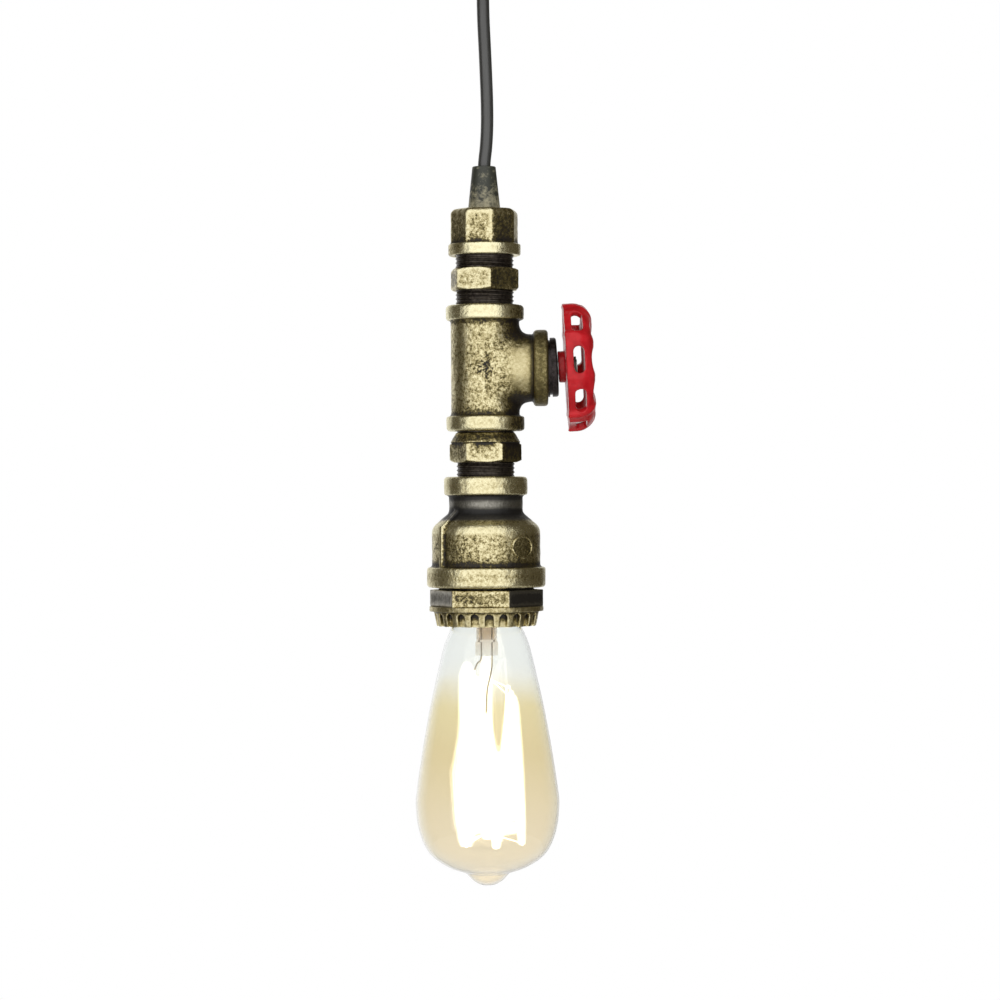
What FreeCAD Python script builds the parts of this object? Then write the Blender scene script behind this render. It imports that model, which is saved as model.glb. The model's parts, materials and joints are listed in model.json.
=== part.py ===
import FreeCAD, Part
import math
import os
import re
import Sketcher

# A pendant lamp made of malleable iron pipe fittings, hanging on its cord from a ceiling canopy.
# The origin is on the ceiling and +Z is up, so the lamp hangs down into -Z. The tee's side branch
# with the handwheel points along +X. Lengths are millimetres and angles are degrees.

SIZES = {
    # Hanging: from the ceiling to the top of the strain relief boot, and the cord between them.
    "drop": 122.0,
    "cord_radius": 2.8,
    "cord_tail": 2.0,
    "cord_straight": 3.0,
    "swing_angle": 25.0,
    "mouth_flare": 28.0,
    "mouth_inset": 2.0,
    "mouth_gap": 0.3,
    "core_radius": 1.1,
    "core_offset": 1.25,
    # Ceiling canopy, its bracket and what they hold.
    "canopy_radius": 50.0,
    "canopy_height": 25.0,
    "canopy_wall": 1.2,
    "canopy_round": 6.0,
    "bracket_thick": 2.0,
    "bracket_width": 20.0,
    "ear_height": 16.0,
    "ear_gap": 1.6,
    "slot_spacing": 66.0,
    "slot_length": 16.0,
    "slot_radius": 2.3,
    "wire_entry_radius": 5.0,
    "side_screw_drop": 11.0,
    "side_screw_radius": 2.0,
    "side_screw_reach": 6.5,
    "side_screw_head_radius": 4.2,
    "side_screw_head": 2.6,
    "block_offset": 17.0,
    "block_width": 13.0,
    "block_length": 20.0,
    "block_height": 12.0,
    "pole_offset": 5.0,
    "sleeve_radius": 2.6,
    "sleeve_bore": 1.6,
    "sleeve_inset": 1.0,
    "core_insert": 4.0,
    "pole_screw_radius": 1.4,
    "pole_screw_offset": 3.2,
    "pole_screw_inset": 0.5,
    "block_screw_radius": 1.2,
    "block_screw_head_radius": 2.2,
    "block_screw_head": 1.2,
    # Cord grip under the canopy.
    "grip_radius": 7.5,
    "grip_length": 12.0,
    "grip_spigot_radius": 5.2,
    "locknut_radius": 8.1,
    "locknut_height": 3.5,
    "spigot_spare": 1.4,
    "stub_show": 4.0,
    "grub_radius": 1.5,
    "grub_drop": 3.5,
    # Strain relief boot and the collar that carries the lamp on its cord.
    "boot_length": 19.0,
    "boot_top_radius": 5.2,
    "boot_base_radius": 7.2,
    "boot_spigot_radius": 5.0,
    "boot_round": 0.4,
    "collar_radius": 4.6,
    "collar_height": 3.0,
    # Pipe thread and castings that all the small fittings share.
    "thread_radius": 13.0,
    "thread_depth": 1.0,
    "thread_pitch": 1.814,
    "thread_gap": 0.1,
    "thread_end_gap": 0.3,
    "nipple_bore": 9.6,
    "bead_round": 1.0,
    "bead_end_round": 1.6,
    "cast_round": 1.1,
    # Octagonal cap.
    "cap_height": 20.7,
    "cap_bead_radius": 16.1,
    "cap_bead_height": 5.1,
    "cap_bead_round": 0.6,
    "octagon_radius": 15.5,
    "octagon_round": 2.8,
    "octagon_turn": -76.6,
    "cap_wall": 4.0,
    "cap_bite": 10.5,
    "cap_cavity_radius": 10.6,
    # Upper hexagon nipple, with the thread that shows above and below it.
    "upper_thread_show": 5.8,
    "upper_hex_height": 9.8,
    "upper_hex_radius": 16.1,
    "upper_hex_turn": -80.2,
    "hex_chamfer": 1.0,
    "tee_thread_show": 6.5,
    "tee_bite": 11.0,
    # Tee and its side branch.
    "tee_length": 56.0,
    "tee_radius": 15.2,
    "tee_bead_radius": 17.4,
    "tee_bead_height": 6.6,
    "passage_radius": 11.0,
    "branch_reach": 28.0,
    "branch_radius": 15.0,
    "branch_bead_radius": 17.0,
    "branch_bead_height": 6.5,
    "branch_bead_round": 1.5,
    # Lower hexagon nipple with its coned shoulder.
    "cone_thread_show": 0.7,
    "cone_height": 4.3,
    "cone_radius": 15.6,
    "lower_hex_height": 8.9,
    "lower_hex_radius": 16.1,
    "lower_hex_turn": -61.6,
    "bell_thread_show": 6.4,
    "bell_bite": 11.0,
    # Bell reducer.
    "bell_length": 49.2,
    "bell_top_radius": 18.6,
    "bell_top_height": 8.2,
    "bell_neck_radius": 16.4,
    "bell_neck_height": 7.8,
    "bell_neck_round": 3.0,
    "bell_shoulder_height": 6.6,
    "bell_shoulder_round": 5.0,
    "bell_radius": 24.1,
    "bell_rim_radius": 26.4,
    "bell_rim_height": 9.0,
    "bell_wall": 3.1,
    "bell_inner_drop": 1.2,
    "bell_rib_width": 2.2,
    "bell_rib_proud": 1.1,
    "bell_rib_root": 1.0,
    "bell_rib_turn": 37.0,
    # Hexagon bushing in the bell's mouth.
    "bushing_gap": 1.0,
    "bushing_hex_height": 7.4,
    "bushing_hex_radius": 25.4,
    "bushing_hex_turn": -66.2,
    "bushing_bite": 12.0,
    "bushing_lip": 3.0,
    # Crown ring.
    "crown_flange_radius": 25.4,
    "crown_flange_height": 2.1,
    "crown_skirt_height": 6.6,
    "crown_top_radius": 23.4,
    "crown_low_radius": 22.1,
    "crown_opening_radius": 19.2,
    "crown_opening_depth": 5.0,
    "notch_count": 22.0,
    "notch_radius": 1.8,
    "notch_top": 5.9,
    "notch_floor_radius": 20.6,
    "notch_turn": 3.3,
    # Lampholder.
    "casing_recess": 2.0,
    "casing_radius": 18.0,
    "casing_step": 1.0,
    "casing_wall": 0.8,
    "casing_lip_radius": 14.6,
    "holder_length": 38.5,
    "holder_top_wall": 5.0,
    "holder_bore": 14.3,
    "holder_mouth_radius": 15.7,
    "holder_mouth_height": 3.6,
    "shell_bore": 13.4,
    "shell_wall": 0.5,
    "shell_length": 27.0,
    "shell_hole": 7.0,
    "contact_room": 1.8,
    "contact_thick": 0.5,
    "contact_width": 4.4,
    "contact_start": -6.0,
    "contact_end": 2.4,
    "contact_boss_radius": 1.8,
    "contact_boss_height": 1.0,
    "near_terminal": -4.5,
    "far_terminal": 9.6,
    "terminal_length": 6.0,
    "terminal_width": 7.0,
    "terminal_height": 5.0,
    "rivet_radius": 1.2,
    "wire_hole_offset": 1.7,
    "wire_hole_depth": 3.5,
    "small_screw_radius": 1.0,
    "small_screw_head_radius": 1.6,
    "small_screw_head": 1.2,
    # Plug in the tee's branch, on an axis that leans up a little.
    "valve_lean": 2.8,
    "lean_pivot": 24.0,
    "lean_room": 0.35,
    "plug_radius": 13.2,
    "plug_bite": 7.0,
    "plug_show": 4.2,
    "plug_wall": 3.4,
    "plug_cavity_radius": 10.6,
    "plug_round": 1.1,
    "plug_groove_start": 0.3,
    "plug_groove_width": 1.2,
    "plug_groove_depth": 1.0,
    # Rotary switch behind the plug.
    "switch_radius": 9.4,
    "switch_wall": 1.5,
    "switch_rear": 8.0,
    "switch_front": 23.6,
    "switch_neck_radius": 4.5,
    "switch_cover_thick": 1.4,
    "jam_nut_height": 2.6,
    "jam_nut_radius": 7.4,
    "rotor_radius": 6.3,
    "rotor_rear": 12.0,
    "rotor_gap": 0.3,
    "bridge_setback": 3.0,
    "bridge_radius": 1.0,
    "bridge_reach": 7.0,
    "spindle_setback": 5.0,
    "blade_inset": 7.2,
    "blade_thick": 0.4,
    "blade_width": 3.6,
    "blade_tail": 4.0,
    "blade_front": 19.5,
    # Spindle and handwheel.
    "spindle_radius": 3.0,
    "hub_gap": 0.4,
    "hub_radius": 7.0,
    "hub_height": 5.6,
    "washer_radius": 5.2,
    "washer_thick": 0.6,
    "wheel_nut_radius": 4.3,
    "wheel_nut_height": 1.9,
    "spindle_spare": 0.3,
    "wheel_radius": 28.6,
    "wheel_back": 3.6,
    "wheel_depth": 12.4,
    "wheel_shoulder": 8.9,
    "wheel_wall": 3.0,
    "wheel_lip_radius": 15.6,
    "wheel_web": 2.4,
    "lobe_count": 9.0,
    "lobe_turn": -93.5,
    "lobe_cut_radius": 34.0,
    "lobe_cut_depth": 1.6,
    "crest_cut_radius": 15.6,
    "crest_cut_depth": 1.2,
    "window_width": 12.0,
    "window_height": 4.8,
    "window_low": 3.2,
    "web_hole_count": 4.0,
    "web_hole_radius": 6.0,
    "web_hole_centre": 16.4,
    # Bulb.
    "bulb_length": 149.5,
    "bulb_radius": 32.0,
    "glass_wall": 0.9,
    "neck_insert": 5.0,
    "bulb_cap_length": 27.0,
    "bulb_cap_radius": 13.1,
    "bulb_cap_top": 4.0,
    "bulb_cap_shoulder": 2.5,
    "bulb_cap_top_radius": 9.0,
    "bulb_cap_wall": 0.4,
    "bulb_cap_skirt": 1.2,
    "bulb_thread_pitch": 3.629,
    "bulb_thread_depth": 0.8,
    "bulb_insulator_thick": 1.6,
    "tip_radius": 4.2,
    "tip_height": 1.4,
    "tip_round": 0.6,
    "tip_hole": 1.0,
    "stem_bottom": 47.0,
    "stem_radius": 4.6,
    "stem_wall": 1.1,
    "stem_flare": 9.0,
    "press_height": 6.0,
    "press_width": 10.0,
    "press_thick": 3.4,
    "lead_spacing": 2.4,
    "lead_radius": 0.4,
    "rod_radius": 1.3,
    "rod_tip_gap": 20.5,
    "button_radius": 2.2,
    "button_height": 4.0,
    "upper_button_drop": 9.0,
    "filament_radius": 0.35,
    "filament_tip_gap": 18.0,
    "hairpin_half_width": 1.3,
    "hairpin_bend": 1.1,
    "anchor_radius": 0.3,
    "anchor_overhang": 0.8,
    "wire_gap": 0.1,
    # Clearance between pieces that seat on each other.
    "seat": 0.05,
}

# The cord's route between its two ends: sideways towards +X, and depth under the ceiling.
CORD_ROUTE = [(-0.2, 50.0), (0.9, 74.0), (1.7, 98.0), (1.2, 112.0)]
# The cage filament hangs on wires round a glass rod: angle, share of the bulb's radius and, for
# the upper ends, share of the way from the glass press down to the filament's feet.
STRAND_FEET = [(214.0, 0.359), (142.0, 0.406), (70.0, 0.422), (358.0, 0.484), (286.0, 0.406)]
STRAND_HEADS = [(178.0, 0.328, 0.059), (106.0, 0.297, 0.118), (34.0, 0.359, 0.166),
                (322.0, 0.438, 0.213)]
LEAD_HEADS = [(232.0, 0.269, 0.071), (268.0, 0.256, 0.296)]
# The pear's outline: shares of the widest radius, and of the way from the cap's rim to the tip.
PEAR = [
    (0.419, 0.020), (0.484, 0.057), (0.581, 0.116), (0.647, 0.180), (0.781, 0.335),
    (0.897, 0.498), (0.981, 0.645), (1.0, 0.711), (0.955, 0.800), (0.822, 0.878),
    (0.584, 0.927), (0.306, 0.954),
]
PIP = [(0.306, 0.954), (0.222, 0.9835), (0.0, 1.0)]

Vector = FreeCAD.Vector
Rotation = FreeCAD.Rotation
X_AXIS = Vector(1, 0, 0)
Y_AXIS = Vector(0, 1, 0)
Z_AXIS = Vector(0, 0, 1)

doc = FreeCAD.newDocument("pipe_pendant")
sheet = doc.addObject("Spreadsheet::Sheet", "Sizes")
for row, (alias, number) in enumerate(SIZES.items(), start=1):
    sheet.set("A%d" % row, alias)
    sheet.set("B%d" % row, "%g" % number)
    sheet.setAlias("B%d" % row, alias)
doc.recompute()

pieces = []

# Depths under the ceiling, from the top of the lamp to its bottom.
GRIP_BOTTOM = "(canopy_height + grip_length)"
CAP_TOP = "(drop + boot_length)"
CAP_BOTTOM = "(" + CAP_TOP + " + cap_height)"
UPPER_HEX_BOTTOM = "(" + CAP_BOTTOM + " + upper_thread_show + upper_hex_height)"
BRANCH = "(" + UPPER_HEX_BOTTOM + " + tee_thread_show + tee_length / 2)"
LOWER_HEX_BOTTOM = ("(" + BRANCH + " + tee_length / 2 + cone_thread_show + cone_height"
                    " + lower_hex_height)")
BELL_BOTTOM = "(" + LOWER_HEX_BOTTOM + " + bell_thread_show + bell_length)"
BUSHING_BOTTOM = "(" + BELL_BOTTOM + " + bushing_gap + bushing_hex_height)"
CROWN_BOTTOM = "(" + BUSHING_BOTTOM + " + crown_flange_height + crown_skirt_height)"
HOLDER_BOTTOM = "(" + CROWN_BOTTOM + " - casing_recess)"
HOLDER_TOP = "(" + HOLDER_BOTTOM + " - holder_length)"
BULB_TOP = "(" + HOLDER_TOP + " + holder_top_wall + contact_room)"

# The flared mouth, throat and chamber that let the cord swing where it enters a fitting.
THROAT = "(cord_radius / cos(swing_angle) + mouth_gap)"
MOUTH = "(" + THROAT + " + mouth_inset * tan(mouth_flare))"
CHAMBER = "(cord_radius * cos(swing_angle) + cord_tail * sin(swing_angle) + 2 * mouth_gap)"
CHAMBER_FLARE = "((" + CHAMBER + " - " + THROAT + ") / tan(mouth_flare))"
CHAMBER_DEPTH = "(cord_tail * cos(swing_angle) + cord_radius * sin(swing_angle) + mouth_gap)"
STUB_INSET = "(mouth_inset + " + CHAMBER_DEPTH + ")"
CORD_BORE = "(cord_radius + seat)"
GRIP_SPIGOT = "(canopy_wall + locknut_height + spigot_spare)"
BOOT_SPIGOT = "(cap_wall + locknut_height + spigot_spare)"

# Distances from the tee's axis along the branch.
PLUG_REAR = "(branch_reach - plug_bite)"
PLUG_FACE = "(branch_reach + plug_show)"
HUB_TOP = "(" + PLUG_FACE + " + hub_gap + hub_height)"
NUT_TOP = "(" + HUB_TOP + " + washer_thick + wheel_nut_height)"
WHEEL_BACK = "(" + PLUG_FACE + " + wheel_back)"
ROTOR_FRONT = "(switch_front - switch_wall - rotor_gap)"

# Heights above the lampholder's bottom.
CASING_SHOULDER = ("(crown_flange_height + crown_skirt_height - casing_recess + bushing_hex_height"
                   " + bushing_gap + bushing_bite - bushing_lip - seat)")
HOLDER_CEILING = "(holder_length - holder_top_wall)"
INSULATOR_RADIUS = "(casing_radius - casing_wall - seat)"
SHELL_TOP = "(" + HOLDER_CEILING + " - seat)"

NECK_RADIUS = "(bulb_cap_radius - bulb_thread_depth - bulb_cap_wall - seat)"
NECK_TOP = "(bulb_cap_length - neck_insert)"
ROD_END = "(bulb_length - rod_tip_gap)"
UPPER_BUTTON = "(stem_bottom + upper_button_drop)"
FILAMENT_BOTTOM = "(bulb_length - filament_tip_gap)"


def bind(text):
    """Turn a sum of size names into an expression that reads the sheet."""
    return re.sub(r"[a-z_]+", lambda word: "Sizes." * (word.group() in SIZES) + word.group(), text)


def value(text):
    """The number that a sum of size names gives now."""
    return float(sheet.evalExpression(bind(text)))


def keep(piece, label):
    piece.Label = label
    pieces.append(piece)
    return piece


def new_body(label):
    return keep(doc.addObject("PartDesign::Body", label), label)


def origin_of(body, role):
    return [item for item in body.Origin.OriginFeatures if item.Role == role][0]


def new_sketch(body, role, lift=None):
    """A sketch on one of the body's own origin planes, lifted off it where a height is given."""
    sketch = body.newObject("Sketcher::SketchObject", body.Name + "_sketch")
    sketch.AttachmentSupport = [(origin_of(body, role), "")]
    sketch.MapMode = "FlatFace"
    if lift is not None:
        sketch.setExpression("AttachmentOffset.Base.z", bind(lift))
    return sketch


def fix_point(sketch, geometry, point, place):
    """Tie one point of a sketch to a pair of expressions."""
    for kind, text in zip(("DistanceX", "DistanceY"), place):
        rule = Sketcher.Constraint(kind, -1, 1, geometry, point, value(text))
        sketch.setExpression("Constraints[%d]" % sketch.addConstraint(rule), bind(text))


def fix_radius(sketch, geometry, text):
    rule = Sketcher.Constraint("Radius", geometry, value(text))
    sketch.setExpression("Constraints[%d]" % sketch.addConstraint(rule), bind(text))


def sketch_point(place):
    return Vector(value(place[0]), value(place[1]), 0)


def draw_outline(sketch, places):
    """A closed outline of straight lines through pairs of expressions."""
    first = sketch.GeometryCount
    corners = [sketch_point(place) for place in places]
    count = len(corners)
    for index in range(count):
        line = Part.LineSegment(corners[index], corners[(index + 1) % count])
        sketch.addGeometry(line, False)
    for index in range(count):
        after = first + (index + 1) % count
        sketch.addConstraint(Sketcher.Constraint("Coincident", first + index, 2, after, 1))
    for index in range(count):
        fix_point(sketch, first + index, 1, places[index])


def draw_circle(sketch, radius, centre=("0", "0")):
    circle = Part.Circle(sketch_point(centre), Z_AXIS, value(radius))
    index = sketch.addGeometry(circle, False)
    fix_point(sketch, index, 3, centre)
    fix_radius(sketch, index, radius)


def draw_slot(sketch, start, end, radius):
    """A slot with round ends between two centres."""
    first = sketch.GeometryCount
    here = sketch_point(start)
    there = sketch_point(end)
    size = value(radius)
    heading = math.atan2(there.y - here.y, there.x - here.x)
    side = Vector(-math.sin(heading), math.cos(heading), 0) * size
    quarter = math.pi / 2
    near = Part.ArcOfCircle(Part.Circle(here, Z_AXIS, size), heading + quarter, heading + 3 * quarter)
    far = Part.ArcOfCircle(Part.Circle(there, Z_AXIS, size), heading - quarter, heading + quarter)
    sketch.addGeometry(near, False)
    sketch.addGeometry(Part.LineSegment(here - side, there - side), False)
    sketch.addGeometry(far, False)
    sketch.addGeometry(Part.LineSegment(there + side, here + side), False)
    for index in range(4):
        after = first + (index + 1) % 4
        sketch.addConstraint(Sketcher.Constraint("Tangent", first + index, 2, after, 1))
    for index, centre in ((first, start), (first + 2, end)):
        fix_point(sketch, index, 3, centre)
        fix_radius(sketch, index, radius)


def turned(body, places, cut=False, across=False):
    """Turn an outline of (radius, height) pairs about Z, or of (along, radius) pairs about X."""
    sketch = new_sketch(body, "XZ_Plane")
    draw_outline(sketch, places)
    kind = "Groove" if cut else "Revolution"
    feature = body.newObject("PartDesign::" + kind, body.Name + "_" + kind.lower())
    feature.Profile = sketch
    feature.ReferenceAxis = (sketch, ["H_Axis" if across else "V_Axis"])
    feature.Angle = 360
    return feature


def extruded(body, sketch, length, cut=False, both=False, back=False):
    """Pad a sketch, or cut with it, over a length."""
    kind = "Pocket" if cut else "Pad"
    feature = body.newObject("PartDesign::" + kind, body.Name + "_" + kind.lower())
    feature.Profile = sketch
    feature.setExpression("Length", bind(length))
    feature.Reversed = back
    if both:
        feature.SideType = "Symmetric"
    return feature


def polygon(sides, radius, turn):
    """Corners of a regular polygon, from its corner radius and the angle of its first corner."""
    corners = []
    for index in range(sides):
        angle = "(%s + %g)" % (turn, index * 360.0 / sides)
        corners.append(("%s * cos(%s)" % (radius, angle), "%s * sin(%s)" % (radius, angle)))
    return corners


def prism(body, sides, radius, turn, height, low="0"):
    sketch = new_sketch(body, "XY_Plane", low)
    draw_outline(sketch, polygon(sides, radius, turn))
    return extruded(body, sketch, height)


def drilled(body, radius, low, height, centre=("0", "0")):
    """A round hole along Z, from a height upwards."""
    sketch = new_sketch(body, "XY_Plane", low)
    draw_circle(sketch, radius, centre)
    return extruded(body, sketch, height, cut=True, back=True)


def rounded(body, radius, wanted):
    """Round the edges that a test picks."""
    doc.recompute()
    base = body.Tip
    names = ["Edge%d" % number for number, edge in enumerate(base.Shape.Edges, start=1)
             if not edge.Degenerated and wanted(edge)]
    feature = body.newObject("PartDesign::Fillet", body.Name + "_fillet")
    feature.Base = (base, names)
    feature.setExpression("Radius", bind(radius))
    return feature


def rings(*wanted, along="z"):
    """A test for circles of given radii, centred at given places along an axis."""
    targets = [(value(radius), value(height)) for radius, height in wanted]

    def test(edge):
        if not isinstance(edge.Curve, Part.Circle):
            return False
        level = getattr(edge.Curve.Center, along)
        return any(abs(edge.Curve.Radius - radius) < 1e-4 and abs(level - height) < 1e-4
                   for radius, height in targets)
    return test


def repeated(body, features, count, role="Z_Axis"):
    """Copies of features round one of the body's axes."""
    doc.recompute()
    pattern = body.newObject("PartDesign::PolarPattern", body.Name + "_pattern")
    pattern.Originals = features
    pattern.Axis = (origin_of(body, role), [""])
    pattern.Angle = 360
    pattern.setExpression("Occurrences", bind(count))
    body.Tip = pattern
    return pattern


def put(piece, along, aside, depth):
    """Put a piece at a distance along X and Y, and at a depth."""
    piece.setExpression("Placement.Base.x", bind(along))
    piece.setExpression("Placement.Base.y", bind(aside))
    piece.setExpression("Placement.Base.z", "-(" + bind(depth) + ")")


def hang(piece, depth, turn=None):
    """Hang a piece on the lamp's axis at a depth, turned about it where an angle is given."""
    if turn is not None:
        piece.Placement.Rotation = Rotation(Z_AXIS, value(turn))
        piece.setExpression("Placement.Rotation.Angle", "(" + bind(turn) + ") * 1 deg")
    put(piece, "0", "0", depth)


def put_on_valve(piece, turn=None):
    """Put a piece drawn along Z from the tee's axis on the leaning axis of the branch."""
    lean = Rotation(Y_AXIS, 90 - value("valve_lean"))
    piece.Placement.Rotation = lean
    if turn is None:
        piece.setExpression("Placement.Rotation.Angle", "(90 - Sizes.valve_lean) * 1 deg")
    else:
        piece.Placement.Rotation = lean.multiply(Rotation(Z_AXIS, value(turn)))
    put(piece, "lean_pivot * (1 - cos(valve_lean))", "0",
        BRANCH + " + lean_pivot * sin(valve_lean)")


def on_valve(drop, aside, along):
    """A point in the room from its place in the branch's leaning frame."""
    lean = math.radians(value("valve_lean"))
    pivot = value("lean_pivot")
    reach = along - pivot
    return Vector(pivot + reach * math.cos(lean) + drop * math.sin(lean), aside,
                  reach * math.sin(lean) - drop * math.cos(lean) - value(BRANCH))


def cylinder(radius, length, base, axis="z"):
    """A cylinder from the point that its axis starts at."""
    item = doc.addObject("Part::Cylinder", "round")
    item.setExpression("Radius", bind(radius))
    item.setExpression("Height", bind(length))
    item.Placement.Rotation = {"z": Rotation(), "x": Rotation(Y_AXIS, 90),
                               "y": Rotation(X_AXIS, -90)}[axis]
    for name, text in zip("xyz", base):
        item.setExpression("Placement.Base." + name, bind(text))
    return item


def box(size, centre, low):
    """A box from its size, the centre of its foot in X and Y, and the foot's height."""
    item = doc.addObject("Part::Box", "block")
    for name, text in zip(("Length", "Width", "Height"), size):
        item.setExpression(name, bind(text))
    for name, text, side in zip("xy", centre, size):
        item.setExpression("Placement.Base." + name, bind("%s - (%s) / 2" % (text, side)))
    item.setExpression("Placement.Base.z", bind(low))
    return item


def fused(items):
    if len(items) == 1:
        return items[0]
    item = doc.addObject("Part::MultiFuse", "fused")
    item.Shapes = items
    return item


def grouped(items):
    """One object from solids that lie apart, or a solid in a frame of its own."""
    item = doc.addObject("Part::Compound", "group")
    item.Links = items
    return item


def less(base, tools):
    item = doc.addObject("Part::Cut", "cut")
    item.Base = base
    item.Tool = fused(tools)
    return item


def path_wire(points, bend=None):
    """A wire of straight runs joined by tangent arcs, and the arcs' radii."""
    edges = []
    radii = []
    start = points[0]
    for before, corner, after in zip(points, points[1:], points[2:]):
        back = before - corner
        ahead = after - corner
        half_turn = (math.pi - back.getAngle(ahead)) / 2
        reach = 0.45 * min(back.Length, ahead.Length)
        if bend is not None:
            reach = min(reach, bend * math.tan(half_turn))
        radius = reach / math.tan(half_turn)
        back.normalize()
        ahead.normalize()
        inward = (back + ahead).normalize()
        centre = corner + inward * (radius / math.cos(half_turn))
        entry = corner + back * reach
        leave = corner + ahead * reach
        edges.append(Part.LineSegment(start, entry).toShape())
        edges.append(Part.Arc(entry, centre - inward * radius, leave).toShape())
        radii.append(radius)
        start = leave
    edges.append(Part.LineSegment(start, points[-1]).toShape())
    return Part.Wire(edges), radii


def tube(points, radius, bend=None):
    """A round tube along a path, the arcs' radii and the path's length."""
    wire, radii = path_wire(points, bend)
    ring = Part.Wire(Part.Circle(points[0], points[1] - points[0], radius).toShape())
    solid = wire.makePipeShell([ring], True, False)
    ideal = math.pi * radius * radius * wire.Length
    if abs(solid.Volume - ideal) > 0.01 * ideal:
        raise ValueError("a tube's volume differs from its section times its length")
    return solid, radii, wire.Length


def shaped(label, shape):
    """A piece with a shape of its own, from sizes read off the sheet."""
    piece = doc.addObject("Part::Feature", label)
    piece.Shape = shape
    return keep(piece, label)


def wire_piece(label, routes, radius, bend=None):
    """One or more wires along their routes."""
    shapes = [tube(route, value(radius), bend)[0] for route in routes]
    return shaped(label, shapes[0] if len(shapes) == 1 else Part.makeCompound(shapes))


# Ceiling fitting


def ceiling_bracket():
    body = new_body("ceiling_bracket")
    reach = "(canopy_radius - canopy_wall - ear_gap)"
    inner = "(" + reach + " - bracket_thick)"
    sketch = new_sketch(body, "XZ_Plane")
    draw_outline(sketch, [
        ("-" + reach, "0"), (reach, "0"), (reach, "-ear_height"), (inner, "-ear_height"),
        (inner, "-bracket_thick"), ("-" + inner, "-bracket_thick"),
        ("-" + inner, "-ear_height"), ("-" + reach, "-ear_height")])
    extruded(body, sketch, "bracket_width", both=True)
    holes = new_sketch(body, "XY_Plane")
    half = "(slot_length / 2 - slot_radius)"
    for middle in ("-slot_spacing / 2", "slot_spacing / 2"):
        draw_slot(holes, (middle + " - " + half, "0"), (middle + " + " + half, "0"), "slot_radius")
    draw_circle(holes, "wire_entry_radius")
    draw_circle(holes, "block_screw_radius + seat", ("-block_offset", "0"))
    extruded(body, holes, "bracket_thick", cut=True)
    threads = new_sketch(body, "YZ_Plane")
    draw_circle(threads, "side_screw_radius + seat", ("0", "-side_screw_drop"))
    extruded(body, threads, "2 * canopy_radius", cut=True, both=True)
    hang(body, "0")


def ceiling_canopy():
    body = new_body("ceiling_canopy")
    inner = "(canopy_radius - canopy_wall)"
    floor = "-(canopy_height - canopy_wall)"
    hole = "(grip_spigot_radius + seat)"
    turned(body, [("canopy_radius", "0"), (inner, "0"), (inner, floor), (hole, floor),
                  (hole, "-canopy_height"), ("canopy_radius", "-canopy_height")])
    rounded(body, "canopy_round", rings(("canopy_radius", "-canopy_height")))
    rounded(body, "canopy_round - canopy_wall", rings((inner, floor)))
    sketch = new_sketch(body, "YZ_Plane")
    draw_circle(sketch, "side_screw_radius + seat", ("0", "-side_screw_drop"))
    extruded(body, sketch, "2 * canopy_radius + canopy_wall", cut=True, both=True)
    hang(body, "0")


def canopy_screws():
    level = "-side_screw_drop"
    start = "(canopy_radius + seat)"
    screws = []
    for side, end in (("", start + " - side_screw_reach"), ("-", "-" + start)):
        head = start if side == "" else "-(canopy_radius + seat + side_screw_head)"
        shank = cylinder("side_screw_radius", "side_screw_reach", (end, "0", level), "x")
        cap = cylinder("side_screw_head_radius", "side_screw_head", (head, "0", level), "x")
        screws.append(fused([shank, cap]))
    keep(grouped(screws), "canopy_screws")


def terminal_block():
    bottom = "(-bracket_thick - block_height)"
    middle = "(-bracket_thick - block_height / 2)"
    centre = "(-block_offset)"
    left = "(-block_offset - block_width / 2)"
    block = box(("block_width", "block_length", "block_height"), (centre, "0"), bottom)
    sleeve_length = "(block_width - 2 * sleeve_inset)"
    holes = [cylinder("block_screw_radius + seat", "block_height", (centre, "0", bottom))]
    sleeves = []
    screws = []
    screw_low = "(" + bottom + " + pole_screw_inset)"
    screw_length = "(block_height / 2 - pole_screw_inset - core_radius - seat)"
    for side in ("-pole_offset", "pole_offset"):
        start = (left + " + sleeve_inset", side, middle)
        holes.append(cylinder("sleeve_bore", "block_width", (left, side, middle), "x"))
        holes.append(cylinder("sleeve_radius + seat", sleeve_length, start, "x"))
        sleeve = cylinder("sleeve_radius", sleeve_length, start, "x")
        bores = [cylinder("sleeve_bore", sleeve_length, start, "x")]
        for shift in (" - pole_screw_offset", " + pole_screw_offset"):
            holes.append(cylinder("pole_screw_radius + seat", "block_height / 2",
                                  (centre + shift, side, bottom)))
            bores.append(cylinder("pole_screw_radius + seat", "sleeve_radius",
                                  (centre + shift, side, middle + " - sleeve_radius")))
            screws.append(cylinder("pole_screw_radius", screw_length,
                                   (centre + shift, side, screw_low)))
        sleeves.append(less(sleeve, bores))
    keep(less(block, holes), "terminal_block")
    keep(grouped(sleeves), "terminal_sleeves")
    keep(grouped(screws), "terminal_block_screws")
    head = cylinder("block_screw_head_radius", "block_screw_head",
                    (centre, "0", bottom + " - block_screw_head"))
    shank = cylinder("block_screw_radius", "block_height + bracket_thick - seat",
                     (centre, "0", bottom))
    keep(fused([head, shank]), "terminal_block_mounting_screw")


def swing_mouth(rim, inward):
    """Outline of a swing mouth, from its rim to the bore of the fixed cord end."""
    steps = [(MOUTH, "0"), (THROAT, "mouth_inset"),
             (CHAMBER, "(mouth_inset + " + CHAMBER_FLARE + ")"),
             (CHAMBER, STUB_INSET), (CORD_BORE, STUB_INSET)]
    return [(radius, rim + inward + step) for radius, step in steps]


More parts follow.
